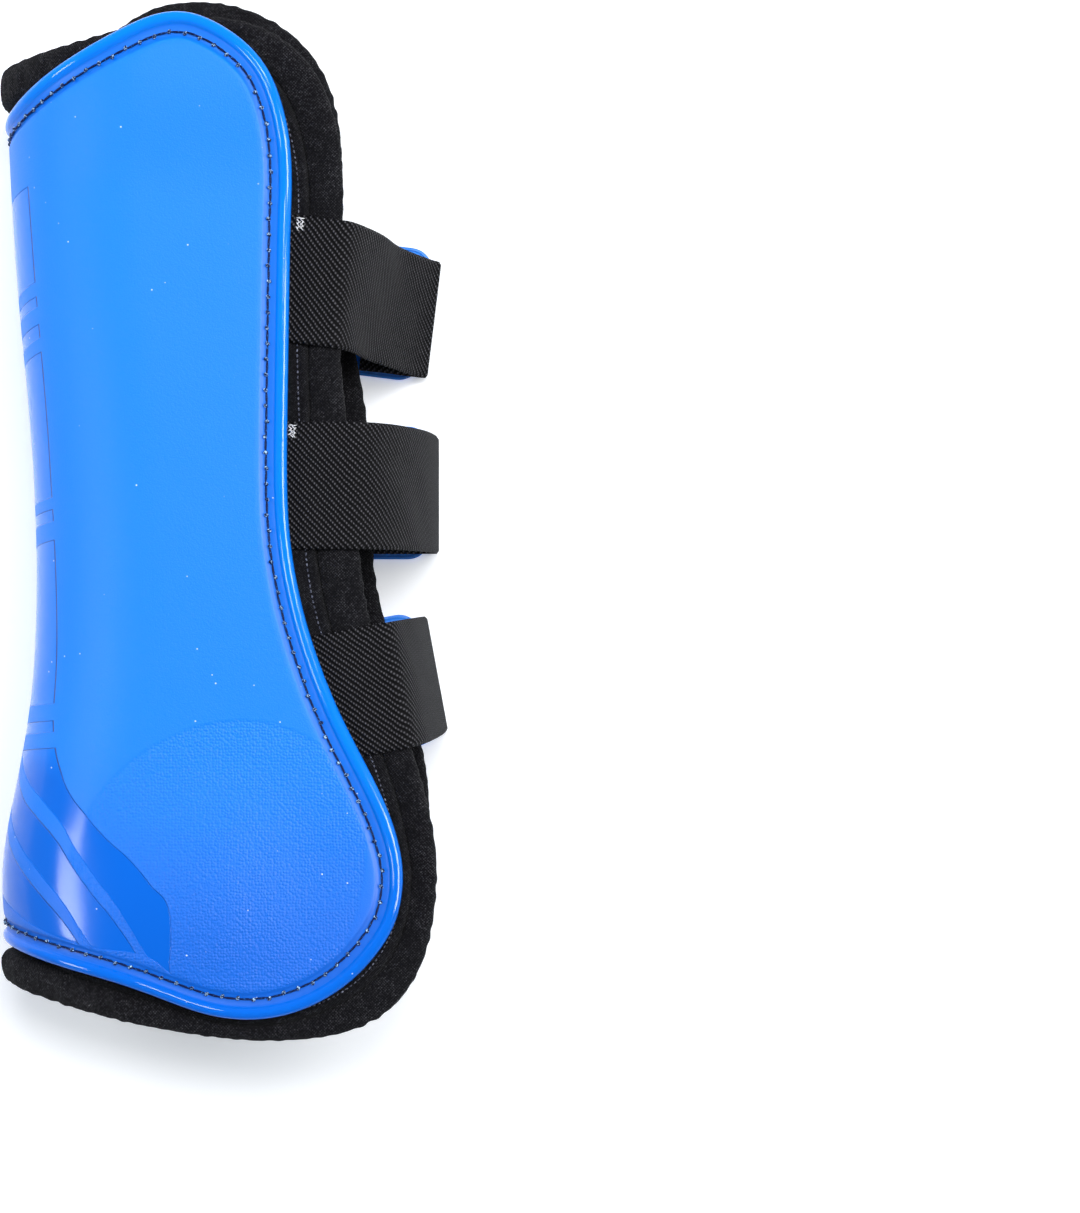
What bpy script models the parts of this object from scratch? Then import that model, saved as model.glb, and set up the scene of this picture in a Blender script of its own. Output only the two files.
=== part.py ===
"""Tendon boot for a horse's front leg, lying on its inner (far) side with the three straps closed.

+Y runs up the leg, +X points from the back of the leg (the spine of the shell) to the open front, +Z is up.
Sheets are laid out flat as a pattern (s across from the spine, y along the leg, d out from the shell's
face) and wrapped round one U-shaped section; s is positive on the near wing and negative on the far one.
"""

import math

import bmesh
import bpy
import numpy as np

MM = 0.001

# Section of the boot, in mm
CURL_POWER = 1.25         # how the curvature fades from the spine to the flat of the wing
HALF_HEIGHT = 31.0        # mid-plane to the outer face of a wing
TOP_FLARE = 3.6
TOP_FLARE_Y = (80.0, 115.0)
FOOT_FLARE = 1.6
FOOT_FLARE_Y = (-82.0, -112.0)
BULB_HEIGHT = 2.6
BULB_CENTRE = (72.0, -90.0)
BULB_RADIUS = 32.0
MID_Z = 36.0
SPINE_Y = (-140.0, -106.0, -97.0, -83.0, -71.5, -52.0, -25.0, 6.0, 30.0, 57.0, 86.0, 108.0, 140.0)
SPINE_X = (-58.2, -60.5, -61.4, -60.9, -58.8, -55.1, -52.8, -53.1, -54.7, -57.2, -59.2, -60.1, -60.6)
FAR_RISE = 13.5           # the far wing rides this much higher than the near one
FAR_PULL = -4.0           # and this much nearer the spine at its ends
FAR_PULL_EASE = 5.0
FAR_PULL_Y = 12.0
FAR_PULL_REACH = 40.0
SHEAR_FROM = 5.0
SHEAR_OVER = 55.0
GIRTH_EASE = 1.9          # added to each wing's length, fading out towards the spine
GIRTH_OVER = 60.0
CENTRE_X = -4.01
CENTRE_Y = 6.47

# Pattern outlines of the near half, spine top to spine bottom, in mm
SHELL_EDGE = (
    (0, 103.5), (16, 106), (33, 113.6), (51, 122.5), (59, 126.3), (65.5, 127.4), (72, 126.4), (81, 121.2),
    (86.6, 115.5), (90, 109), (91.7, 99), (91.2, 89), (90, 79), (88.4, 60), (86, 39), (84.2, 22),
    (83.2, 6), (83.7, -6), (85.7, -18), (89.6, -31), (96.5, -46), (105, -58.5), (115.2, -72.5),
    (120.3, -83.5), (121.3, -92), (119.6, -100), (114.7, -107.2), (106.5, -115.5), (94.5, -122.3),
    (82, -124.7), (70.5, -123.3), (61, -119.6), (50, -115.2), (38, -112.2), (20, -108.6), (0, -107),
)
SHELL_CORNERS = (8.5, 26.0)
CORE_EDGE = (
    (0, 107), (18, 109), (34, 113), (52, 117.6), (66, 120.2), (80, 118.3), (91, 110.5), (94.4, 98),
    (94.3, 82), (92, 60), (90.2, 40), (89.1, 20), (88.8, -6), (91.3, -22), (98.5, -41), (109.5, -57.5),
    (121, -80.5), (123.2, -92), (120.8, -103.5), (113, -114.5), (103.3, -121.3), (93.5, -124.7),
    (82, -126.7), (70, -125.3), (53, -118.5), (36, -114.6), (18, -111), (0, -109.7),
)
CORE_CORNERS = (6.0, 19.0)
HEM_EDGE = (
    (0, 118), (15, 118), (34.5, 121), (51.5, 124.3), (66, 127.3), (80, 126.8), (90, 123),
    (97.5, 116.5), (102, 108.5), (103.7, 99), (103.5, 88), (101.6, 68), (98.7, 46), (99, 28),
    (100, -6), (102.8, -25), (108.8, -41), (116.6, -56), (126.2, -75), (129.3, -86.5), (129.3, -97),
    (126.2, -109), (119.4, -120), (110, -127), (96, -130.3), (77, -130.6), (56.5, -127.2),
    (34, -122.8), (17, -119), (0, -117.5),
)
HEM_CORNERS = (7.0, 22.0)

SHELL_CELLS = (30, 20)
CORE_CELLS = (26, 18)
LAYER_CELLS = (10, 6)

# Depths of the layers below the shell's face, in mm, as (inset from the edge, depth)
SHELL_FACE = ((0.0, -0.9), (1.0, 0.75), (3.4, 0.75), (4.4, -0.6), (6.2, -0.6), (7.4, 0.0))
SHELL_BACK = ((0.0, -2.5),)
SEAM_INSET = 5.3
SEAM_DEPTH = -0.18
THREAD_R = 0.3
CORE_FACE = ((0.0, -5.5), (2.0, -5.5), (3.0, -4.6))
CORE_BACK = ((0.0, -8.2),)
HEM_SEAM_INSET = 1.0
HEM_SEAM_DEPTH = -5.15
LINING_FACE = ((0.6, -8.5),)
LINING_BACK = ((0.6, -9.1),)
HEM_ROLL = ((0.05, -5.4), (0.25, -4.7), (0.7, -4.7), (0.93, -5.5), (1.0, -7.0), (0.93, -8.6), (0.7, -9.4),
            (0.25, -9.4), (0.05, -8.8))
HEM_SPREAD = 6.8          # how far the hem turns outwards at the spine, past the shell's ends
HEM_SPREAD_S = 45.0
HEM_FAR_LIFT = 3.2        # extra height of the far wing's hem at its peak
HEM_FAR_LIFT_AT = 62.0
HEM_FAR_LIFT_REACH = 40.0

# Straps, in mm
WEB_WIDTH = 32.0
ROOT_FACE = -2.8
ROOT_BACK = -4.3
ROOT_LENGTH = 12.0
SWING_GAP = 0.3
BEND_R = 2.5
BEND_STEPS = 4
FOLD_Z = 1.8
FOLD_GAP = 0.2
TAIL_LENGTH = 19.4
TAB_WIDTH = 36.5
TAB_P = (-72.0, -2.7)
TAB_CORNER = 6.0
TAB_D = (3.5, 5.0)
HOOK_D = (1.85, 3.2)
HOOK_P = (-68.0, -22.5)
HOOK_WIDTH = 26.0
LOOP_D = (0.35, 1.5)
LOOP_X = (-28.0, 5.5)
LOOP_WIDTH = 30.0
PATCH_CORNER = 2.0
STITCH_P = (-16.0, -5.5)
STITCH_WIDTH = 22.0
STITCH_R = 0.25
TACK = (3.4, 2.6, 0.5)
TACK_INSET = (1.2, 1.6)
TACK_GAP = 0.05
STRAPS = (
    # name, tilt in degrees, x of the sewn edge, x of the bend over the hem, fold x and y, tab's shift, bar tack
    ("upper", -7.0, 19.3, 28.4, 49.9, 57.3, 1.0, True),
    ("middle", 0.0, 17.4, 30.9, 51.0, 9.4, 0.8, True),
    ("lower", 10.5, 31.8, 43.0, 50.6, -39.3, -0.4, False),
)

# Finishes: colour (linear), roughness, metallic
FINISHES = {
    "blue_pu": ((0.012, 0.27, 0.95, 1.0), 0.28, 0.0),
    "blue_tab": ((0.012, 0.27, 0.95, 1.0), 0.45, 0.0),
    "black_jersey": ((0.012, 0.012, 0.014, 1.0), 0.9, 0.0),
    "black_foam": ((0.015, 0.015, 0.017, 1.0), 0.85, 0.0),
    "black_webbing": ((0.010, 0.010, 0.012, 1.0), 0.8, 0.0),
    "hook_tape": ((0.02, 0.02, 0.022, 1.0), 0.7, 0.0),
    "navy_thread": ((0.02, 0.05, 0.16, 1.0), 0.6, 0.0),
    "black_thread": ((0.02, 0.02, 0.03, 1.0), 0.7, 0.0),
    "white_thread": ((0.75, 0.75, 0.76, 1.0), 0.6, 0.0),
}


def natural_spline(knots, values):
    """Smooth curve through the points: returns a function of the knot's variable."""
    k = np.array(knots, float)
    v = np.array(values, float)
    step = np.diff(k)
    n = len(k)
    system = np.eye(n)
    right = np.zeros(n)
    for i in range(1, n - 1):
        system[i, i - 1] = step[i - 1]
        system[i, i] = 2 * (step[i - 1] + step[i])
        system[i, i + 1] = step[i]
        right[i] = 6 * ((v[i + 1] - v[i]) / step[i] - (v[i] - v[i - 1]) / step[i - 1])
    bend = np.linalg.solve(system, right)

    def curve(x):
        i = int(np.clip(np.searchsorted(k, x) - 1, 0, n - 2))
        a = (k[i + 1] - x) / step[i]
        b = (x - k[i]) / step[i]
        sag = ((a ** 3 - a) * bend[i] + (b ** 3 - b) * bend[i + 1]) * step[i] ** 2 / 6
        return a * v[i] + b * v[i + 1] + sag

    return curve


def unit_section():
    """The U's section for a half-height of one: arc length, distance from the spine, rise, angle."""
    fine = np.linspace(0.0, 1.0, 2001)
    heights = np.sin(math.pi / 2 * fine ** CURL_POWER)
    curl = 1.0 / float(np.sum((heights[1:] + heights[:-1]) / 2) / 2000)
    t = np.linspace(0.0, 6.0, 3001)
    angle = math.pi / 2 * np.clip(1 - t / curl, 0, 1) ** CURL_POWER
    step = t[1] - t[0]
    out = np.concatenate([[0], np.cumsum((np.cos(angle)[1:] + np.cos(angle)[:-1]) / 2 * step)])
    rise = np.concatenate([[0], np.cumsum((np.sin(angle)[1:] + np.sin(angle)[:-1]) / 2 * step)])
    return t, out, rise, angle


SECTION_T, SECTION_OUT, SECTION_RISE, SECTION_ANGLE = unit_section()
SPINE = natural_spline(SPINE_Y, SPINE_X)


def smooth(u):
    """Ease from 0 to 1 with a flat start and end."""
    u = min(max(u, 0.0), 1.0)
    return u * u * (3 - 2 * u)


def half_height(y):
    """Half-height of the section at a height on the leg."""
    top = smooth((y - TOP_FLARE_Y[0]) / (TOP_FLARE_Y[1] - TOP_FLARE_Y[0]))
    foot = smooth((y - FOOT_FLARE_Y[0]) / (FOOT_FLARE_Y[1] - FOOT_FLARE_Y[0]))
    return HALF_HEIGHT + TOP_FLARE * top + FOOT_FLARE * foot


def wrap(s, y, d):
    """Point of the boot for a pattern place: s across, y along, d out from the shell's face."""
    side = 1.0 if s >= 0 else -1.0
    reach = abs(s)
    h = half_height(y)
    t = reach / h
    angle = float(np.interp(t, SECTION_T, SECTION_ANGLE))
    far = math.hypot(reach - BULB_CENTRE[0], y - BULB_CENTRE[1]) / BULB_RADIUS
    bulb = BULB_HEIGHT * math.cos(math.pi / 2 * far) ** 2 if far < 1 and side > 0 else 0.0
    x = SPINE(y) + h * float(np.interp(t, SECTION_T, SECTION_OUT)) - math.sin(angle) * (d + bulb)
    z = MID_Z + side * (h * float(np.interp(t, SECTION_T, SECTION_RISE)) + math.cos(angle) * (d + bulb))
    if side < 0:
        shear = smooth((reach - SHEAR_FROM) / SHEAR_OVER)
        x += shear * (FAR_PULL + FAR_PULL_EASE * math.exp(-((y - FAR_PULL_Y) / FAR_PULL_REACH) ** 2))
        y += shear * FAR_RISE
    return (x - CENTRE_X) * MM, (y - CENTRE_Y) * MM, z * MM


def under_far_wing(x, y, d):
    """Point d below the far wing's outer face, straight under a place given in the boot's own x and y."""
    low, high = -140.0, -2.0
    for _ in range(40):
        s = (low + high) / 2
        shear = smooth((-s - SHEAR_FROM) / SHEAR_OVER)
        if wrap(s, y - shear * FAR_RISE, 0.0)[0] > (x - CENTRE_X) * MM:
            low = s
        else:
            high = s
    z = wrap(s, y - smooth((-s - SHEAR_FROM) / SHEAR_OVER) * FAR_RISE, d)[2]
    return (x - CENTRE_X) * MM, (y - CENTRE_Y) * MM, z


def plain(x, y, z):
    """Point given directly in mm."""
    return (x - CENTRE_X) * MM, (y - CENTRE_Y) * MM, z * MM


def resample(points, cells):
    """The same line with even steps."""
    p = np.array(points, float)
    length = np.concatenate([[0], np.cumsum(np.linalg.norm(np.diff(p, axis=0), axis=1))])
    at = np.linspace(0, length[-1], cells + 1)
    return np.column_stack([np.interp(at, length, p[:, 0]), np.interp(at, length, p[:, 1])])


def half_edge(controls, start, end):
    """Stretch of the smooth half outline between two control numbers."""
    c = [(-controls[1][0], controls[1][1]), *controls, (-controls[-2][0], controls[-2][1])]
    points = []
    for u in np.linspace(start, end, int((end - start) * 12) + 1):
        i = min(int(u), len(controls) - 2)
        f = u - i
        weights = ((1 - f) ** 3, 3 * f ** 3 - 6 * f ** 2 + 4, -3 * f ** 3 + 3 * f ** 2 + 3 * f + 1, f ** 3)
        points.append(sum(w * np.array(c[i + k], float) for k, w in enumerate(weights)) / 6)
    return points


def boot_sides(controls, corners, cells):
    """Top, near front, bottom and far front edges of a sheet that is the same on both wings."""
    across, along = cells
    mirror = np.array([-1.0, 1.0])
    controls = [(s + GIRTH_EASE * smooth(s / GIRTH_OVER), y) for s, y in controls]
    top = resample(half_edge(controls, 0, corners[0]), across // 2)
    front = resample(half_edge(controls, corners[0], corners[1]), along)
    foot = resample(half_edge(controls, corners[1], len(controls) - 1), across // 2)[::-1]
    return (np.vstack([top[:0:-1] * mirror, top]), front,
            np.vstack([foot[:0:-1] * mirror, foot]), front * mirror)


def box_sides(x_range, centre_y, width, corner, cells):
    """The four edges of a rectangle with rounded corners, split at the middle of each corner."""
    across, along = cells
    (x0, x1), (y0, y1) = x_range, (centre_y - width / 2, centre_y + width / 2)
    mid = [(x0 + corner, y1 - corner), (x1 - corner, y1 - corner), (x1 - corner, y0 + corner), (x0 + corner, y0 + corner)]

    def arc(which, first, last):
        turns = np.radians(np.linspace(first, last, 4))
        return [(mid[which][0] + corner * math.cos(a), mid[which][1] + corner * math.sin(a)) for a in turns]

    return (resample(arc(0, 135, 90) + arc(1, 90, 45), across), resample(arc(1, 45, 0) + arc(2, 0, -45), along),
            resample(arc(3, -135, -90) + arc(2, -90, -45), across), resample(arc(0, 135, 180) + arc(3, 180, 225), along))


def loop_of(sides):
    """Closed outline, clockwise, of four edges."""
    top, right, bottom, left = sides
    return np.vstack([top, right[1:], bottom[-2::-1], left[-2:0:-1]])


def sides_of(loop, cells):
    """Four edges of a closed outline."""
    across, along = cells
    closed = np.vstack([loop, loop[:1]])
    return (closed[:across + 1], closed[across:across + along + 1],
            closed[across + along:2 * across + along + 1][::-1], closed[2 * across + along:][::-1])


def inset(loop, by):
    """The outline moved inwards."""
    ahead = np.roll(loop, -1, axis=0) - np.roll(loop, 1, axis=0)
    ahead = ahead / np.linalg.norm(ahead, axis=1)[:, None]
    return loop + by * np.column_stack([ahead[:, 1], -ahead[:, 0]])


def add_ring(bm, loop, depth, place):
    """Corners of one outline at one depth."""
    return [bm.verts.new(place(float(p[0]), float(p[1]), depth)) for p in loop]


def bridge(bm, a, b):
    """Faces between two rings of equal count."""
    for i in range(len(a)):
        j = (i + 1) % len(a)
        bm.faces.new((a[i], a[j], b[j], b[i]))


def add_face_of_sheet(bm, sides, cells, profile, place):
    """One face of a sheet: rings along its edge, then a grid. Returns the outermost ring."""
    across, along = cells
    loop = loop_of(sides)
    rings = [add_ring(bm, inset(loop, by), depth, place) for by, depth in profile]
    for a, b in zip(rings, rings[1:]):
        bridge(bm, a, b)
    inner = inset(loop, profile[-1][0])
    top, right, bottom, left = sides_of(inner, cells)
    last = rings[-1]
    count = len(last)
    grid = {}
    for i in range(across + 1):
        grid[i, 0] = last[i]
        grid[i, along] = last[(2 * across + along - i) % count]
    for j in range(along + 1):
        grid[across, j] = last[across + j]
        grid[0, j] = last[(2 * across + 2 * along - j) % count]
    for i in range(1, across):
        u = i / across
        for j in range(1, along):
            v = j / along
            corner = ((1 - u) * ((1 - v) * top[0] + v * bottom[0]) + u * ((1 - v) * top[-1] + v * bottom[-1]))
            p = (1 - v) * top[i] + v * bottom[i] + (1 - u) * left[j] + u * right[j] - corner
            grid[i, j] = bm.verts.new(place(float(p[0]), float(p[1]), profile[-1][1]))
    for i in range(across):
        for j in range(along):
            bm.faces.new((grid[i, j], grid[i + 1, j], grid[i + 1, j + 1], grid[i, j + 1]))
    return rings[0]


def finish(name, bm, finish_name, pivot=(0.0, 0.0, 0.0)):
    """Turn the mesh into a named object whose origin is its pivot."""
    bmesh.ops.recalc_face_normals(bm, faces=bm.faces)
    bmesh.ops.translate(bm, verts=bm.verts, vec=[-c for c in pivot])
    mesh = bpy.data.meshes.new(name)
    bm.to_mesh(mesh)
    bm.free()
    for face in mesh.polygons:
        face.use_smooth = True
    mesh.materials.append(bpy.data.materials[finish_name])
    obj = bpy.data.objects.new(name, mesh)
    obj.location = pivot
    bpy.context.scene.collection.objects.link(obj)
    return obj


def sheet(name, sides, cells, face, back, place, finish_name, pivot=(0.0, 0.0, 0.0)):
    """Closed sheet between a face profile and a back profile."""
    bm = bmesh.new()
    outer = add_face_of_sheet(bm, sides, cells, face, place)
    inner = add_face_of_sheet(bm, sides, cells, back, place)
    bridge(bm, outer, inner)
    return finish(name, bm, finish_name, pivot)


def thread(name, loop, depth, radius, place, finish_name, pivot=(0.0, 0.0, 0.0)):
    """Closed thread of square section along an outline."""
    bm = bmesh.new()
    rings = [add_ring(bm, inset(loop, across), depth + up, place)
             for across, up in ((-radius, 0), (0, radius), (radius, 0), (0, -radius))]
    for i in range(4):
        bridge(bm, rings[i], rings[(i + 1) % 4])
    return finish(name, bm, finish_name, pivot)


def edge_roll(name, inner_loop, outer_loop, roll, finish_name):
    """Closed puffy roll between two outlines, turned outwards near the spine."""
    bm = bmesh.new()
    rings = []
    for f, depth in roll:
        ring = []
        for s, y in inner_loop + f * (outer_loop - inner_loop):
            spread = HEM_SPREAD * smooth(f) * (1 - smooth(abs(s) / HEM_SPREAD_S))
            if s < 0 and y > 0:
                off = min(abs(-s - HEM_FAR_LIFT_AT) / HEM_FAR_LIFT_REACH, 1.0)
                y += HEM_FAR_LIFT * f * math.cos(math.pi / 2 * off) ** 2 * smooth((y - 60) / 50)
            ring.append(bm.verts.new(wrap(float(s), float(y), depth + spread)))
        rings.append(ring)
    for i in range(len(rings)):
        bridge(bm, rings[i], rings[(i + 1) % len(rings)])
    return finish(name, bm, finish_name)


def loft(name, stations, width, lay, finish_name, pivot):
    """Closed band through stations of (face p, face z, back p, back z) in a strap's own frame."""
    bm = bmesh.new()
    rings = []
    for face_p, face_z, back_p, back_z in stations:
        low, high = width
        corners = ((face_p, low, face_z), (face_p, high, face_z), (back_p, high, back_z), (back_p, low, back_z))
        rings.append([bm.verts.new(plain(*lay(*c))) for c in corners])
    for a, b in zip(rings, rings[1:]):
        bridge(bm, a, b)
    bm.faces.new(rings[0])
    bm.faces.new(rings[-1])
    return finish(name, bm, finish_name, pivot)


def build_strap(name, tilt, sewn_x, bend_x, fold_x, fold_y, tab_shift, has_tack):
    """One strap: sewn-in root, band, turned-back tail, tab, hook and loop patches, stitching."""
    slope = math.radians(tilt)
    face_z = MID_Z + HALF_HEIGHT + ROOT_FACE
    back_z = MID_Z + HALF_HEIGHT + ROOT_BACK
    web = ROOT_FACE - ROOT_BACK
    half_web = (-WEB_WIDTH / 2, WEB_WIDTH / 2)
    here = (0.0, 0.0, 0.0)

    def lay(p, q, z):
        """Boot place of a strap place: p along it from the fold, q across it."""
        return (fold_x + p * math.cos(slope) - q * math.sin(slope),
                fold_y + p * math.sin(slope) + q * math.cos(slope), z)

    def below(p, q, d):
        """The same, at a depth under the far wing."""
        x, y, _ = lay(p, q, 0.0)
        return under_far_wing(x, y, d)

    sewn = sewn_x - fold_x
    bend = (bend_x - fold_x, back_z - BEND_R)
    swing = plain(*lay(sewn + SWING_GAP / 2, 0.0, face_z))
    peel = plain(*lay(0.0, 0.0, FOLD_Z))

    root = [(p, face_z, p, back_z) for p in (sewn - ROOT_LENGTH, sewn)]
    loft(f"{name}_strap_root", root, half_web, lay, "black_webbing", here)

    outer_r = BEND_R + web
    down = math.atan2(bend[1] - FOLD_Z, -bend[0])
    drop = math.asin(outer_r / math.hypot(bend[0], bend[1] - FOLD_Z)) + down
    start = sewn + SWING_GAP
    stations = [(start, face_z, start, back_z)]
    for i in range(BEND_STEPS + 1):
        a = math.pi / 2 - drop * i / BEND_STEPS
        stations.append((bend[0] + outer_r * math.cos(a), bend[1] + outer_r * math.sin(a),
                         bend[0] + BEND_R * math.cos(a), bend[1] + BEND_R * math.sin(a)))
    middle = math.pi - drop / 2
    slant = web / math.sin(drop / 2)
    mitre = (math.cos(middle) * slant, math.sin(middle) * slant)
    end = (-math.cos(drop) * FOLD_GAP, FOLD_Z + math.sin(drop) * FOLD_GAP)
    stations.append((end[0], end[1], end[0] + mitre[0], end[1] + mitre[1]))
    loft(f"{name}_strap_band", stations, half_web, lay, "black_webbing", swing)

    tail = [(-FOLD_GAP, FOLD_Z, mitre[0] - FOLD_GAP, FOLD_Z + mitre[1]),
            (-TAIL_LENGTH, FOLD_Z, -TAIL_LENGTH, FOLD_Z + web)]
    loft(f"{name}_strap_tail", tail, half_web, lay, "black_webbing", peel)

    def layer(node, span, shift, width, corner, depths, place, finish_name, pivot):
        sides = box_sides(span, shift, width, corner, LAYER_CELLS)
        return sheet(node, sides, LAYER_CELLS, ((0.0, depths[0]),), ((0.0, depths[1]),), place, finish_name, pivot)

    layer(f"{name}_tab", TAB_P, tab_shift, TAB_WIDTH, TAB_CORNER, TAB_D, below, "blue_tab", peel)
    layer(f"{name}_hook_patch", HOOK_P, tab_shift, HOOK_WIDTH, PATCH_CORNER, HOOK_D, below, "hook_tape", peel)
    loop_span = (LOOP_X[0] - fold_x, LOOP_X[1] - fold_x)
    layer(f"{name}_loop_patch", loop_span, tab_shift, LOOP_WIDTH, PATCH_CORNER, LOOP_D, below, "hook_tape", here)

    def on_tail(p, q, z):
        return plain(*lay(p, q, z))

    stitch_sides = box_sides(STITCH_P, 0.0, STITCH_WIDTH, PATCH_CORNER, LAYER_CELLS)
    lift = FOLD_Z + web + STITCH_R + TACK_GAP
    thread(f"{name}_tab_stitching", loop_of(stitch_sides), lift, STITCH_R, on_tail, "black_thread", peel)

    if has_tack:
        left = start + TACK_INSET[0]
        high = WEB_WIDTH / 2 - TACK_INSET[1]
        low_z = face_z + TACK_GAP
        tack = [(p, low_z + TACK[2], p, low_z) for p in (left, left + TACK[0])]
        loft(f"{name}_bartack", tack, (high - TACK[1], high), lay, "white_thread", swing)


def build():
    """Build the boot."""
    for obj in list(bpy.data.objects):
        bpy.data.objects.remove(obj, do_unlink=True)
    for name, (colour, roughness, metallic) in FINISHES.items():
        material = bpy.data.materials.new(name)
        material.use_nodes = True
        shader = material.node_tree.nodes["Principled BSDF"]
        shader.inputs["Base Color"].default_value = colour
        shader.inputs["Roughness"].default_value = roughness
        shader.inputs["Metallic"].default_value = metallic

    shell = boot_sides(SHELL_EDGE, SHELL_CORNERS, SHELL_CELLS)
    core = boot_sides(CORE_EDGE, CORE_CORNERS, CORE_CELLS)
    hem = boot_sides(HEM_EDGE, HEM_CORNERS, CORE_CELLS)
    sheet("shell", shell, SHELL_CELLS, SHELL_FACE, SHELL_BACK, wrap, "blue_pu")
    seam = inset(loop_of(shell), SEAM_INSET)
    thread("shell_stitching", seam, SEAM_DEPTH, THREAD_R, wrap, "navy_thread")
    sheet("foam_core", core, CORE_CELLS, CORE_FACE, CORE_BACK, wrap, "black_foam")
    sheet("inner_lining", core, CORE_CELLS, LINING_FACE, LINING_BACK, wrap, "black_jersey")
    edge_roll("lining_hem", loop_of(core), loop_of(hem), HEM_ROLL, "black_jersey")
    hem_seam = inset(loop_of(core), HEM_SEAM_INSET)
    thread("hem_stitching", hem_seam, HEM_SEAM_DEPTH, STITCH_R, wrap, "black_thread")
    for strap in STRAPS:
        build_strap(*strap)


build()
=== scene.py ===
"""Tendon boot for a horse's front leg, lying on its far wing with the three straps closed.

The boot is cut as flat patterns (s across from the spine, y along the leg, d out from the shell's face, all
in mm) and each pattern is wrapped round one U-shaped section, so that every layer lies on the next one.
"""

import logging
import math
import random
from dataclasses import dataclass
from enum import Enum

import bmesh
import bpy
import numpy as np
from mathutils import Matrix, Vector


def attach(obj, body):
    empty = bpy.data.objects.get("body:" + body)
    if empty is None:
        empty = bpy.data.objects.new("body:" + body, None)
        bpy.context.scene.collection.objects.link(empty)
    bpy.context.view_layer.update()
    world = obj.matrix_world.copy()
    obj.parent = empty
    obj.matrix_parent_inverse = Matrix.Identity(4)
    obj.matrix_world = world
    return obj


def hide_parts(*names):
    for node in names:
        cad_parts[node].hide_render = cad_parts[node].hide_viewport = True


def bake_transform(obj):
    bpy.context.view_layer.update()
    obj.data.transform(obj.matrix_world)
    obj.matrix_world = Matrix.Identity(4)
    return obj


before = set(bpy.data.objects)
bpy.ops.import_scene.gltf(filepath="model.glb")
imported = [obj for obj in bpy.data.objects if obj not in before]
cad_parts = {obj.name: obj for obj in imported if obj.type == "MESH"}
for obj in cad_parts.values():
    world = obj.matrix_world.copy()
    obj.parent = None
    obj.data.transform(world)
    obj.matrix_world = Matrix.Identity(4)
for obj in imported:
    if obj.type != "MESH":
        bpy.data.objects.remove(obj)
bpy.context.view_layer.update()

LOG = logging.getLogger("tendon_boot")
MM = 0.001
UV_SPAN = 400.0
Points = list[tuple[float, float]]
Sides = tuple[np.ndarray, np.ndarray, np.ndarray, np.ndarray]


class Body(Enum):
    """Rigid bodies of the frame that pieces ride on."""

    BOOT = "boot"


class StrapName(Enum):
    """The three straps, from the top of the leg down."""

    UPPER = "upper"
    MIDDLE = "middle"
    LOWER = "lower"


# ---------------------------------------------------------------------------------------------- modelling


def select_only(obj: bpy.types.Object) -> None:
    """Select one object alone and make it active.

    Args:
        obj: the object to work on.
    """
    for other in bpy.context.selected_objects:
        other.select_set(False)
    obj.select_set(True)
    bpy.context.view_layer.objects.active = obj


def deselect_all() -> None:
    """Clear the selection, so that an operator acts only on what it adds."""
    for other in bpy.context.selected_objects:
        other.select_set(False)


def apply_modifiers(obj: bpy.types.Object) -> None:
    """Apply every modifier of an object, in order."""
    select_only(obj)
    for modifier in list(obj.modifiers):
        bpy.ops.object.modifier_apply(modifier=modifier.name)


def smooth_shade(obj: bpy.types.Object, degrees: float = 40.0) -> None:
    """Shade an object smooth, with creases above an angle.

    Args:
        obj: the object.
        degrees: the angle past which an edge stays sharp.
    """
    select_only(obj)
    bpy.ops.object.shade_smooth_by_angle(angle=math.radians(degrees))


def signed_volume(mesh: bpy.types.Mesh) -> float:
    """Volume enclosed by a closed mesh, negative when it is inside out."""
    mesh.calc_loop_triangles()
    co = np.empty(len(mesh.vertices) * 3)
    mesh.vertices.foreach_get("co", co)
    co = co.reshape(-1, 3)
    tris = np.empty(len(mesh.loop_triangles) * 3, dtype=np.int64)
    mesh.loop_triangles.foreach_get("vertices", tris)
    a, b, c = (co[tris.reshape(-1, 3)[:, k]] for k in range(3))
    return float(np.einsum("ij,ij->i", a, np.cross(b, c)).sum() / 6)


def face_outwards(mesh: bpy.types.Mesh) -> None:
    """Turn a closed mesh the right way out."""
    if signed_volume(mesh) < 0:
        mesh.flip_normals()


def mesh_object(name: str, points: np.ndarray, faces: list[tuple[int, ...]]) -> bpy.types.Object:
    """Make an object from points and faces.

    Args:
        name: the piece's name.
        points: its corners.
        faces: corner numbers of each face.

    Returns:
        The new object, at the origin.
    """
    mesh = bpy.data.meshes.new(name)
    mesh.from_pydata([tuple(map(float, p)) for p in points], [], faces)
    mesh.update()
    obj = bpy.data.objects.new(name, mesh)
    bpy.context.scene.collection.objects.link(obj)
    return obj


def get_points(mesh: bpy.types.Mesh) -> np.ndarray:
    """Corners of a mesh as an array."""
    co = np.empty(len(mesh.vertices) * 3)
    mesh.vertices.foreach_get("co", co)
    return co.reshape(-1, 3)


def set_points(mesh: bpy.types.Mesh, points: np.ndarray) -> None:
    """Move the corners of a mesh."""
    mesh.vertices.foreach_set("co", points.reshape(-1).astype(np.float32))
    mesh.update()


def write_pattern_uv(mesh: bpy.types.Mesh, flat: np.ndarray) -> None:
    """Store each corner's flat place as the UV map that the finishes read.

    Args:
        mesh: the mesh.
        flat: its flat places, in mm, one row per corner.
    """
    layer = mesh.uv_layers.get("pattern") or mesh.uv_layers.new(name="pattern")
    corner = np.empty(len(mesh.loops), dtype=np.int64)
    mesh.loops.foreach_get("vertex_index", corner)
    layer.data.foreach_set("uv", (flat[corner][:, :2] / UV_SPAN + 0.5).reshape(-1).astype(np.float32))


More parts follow.
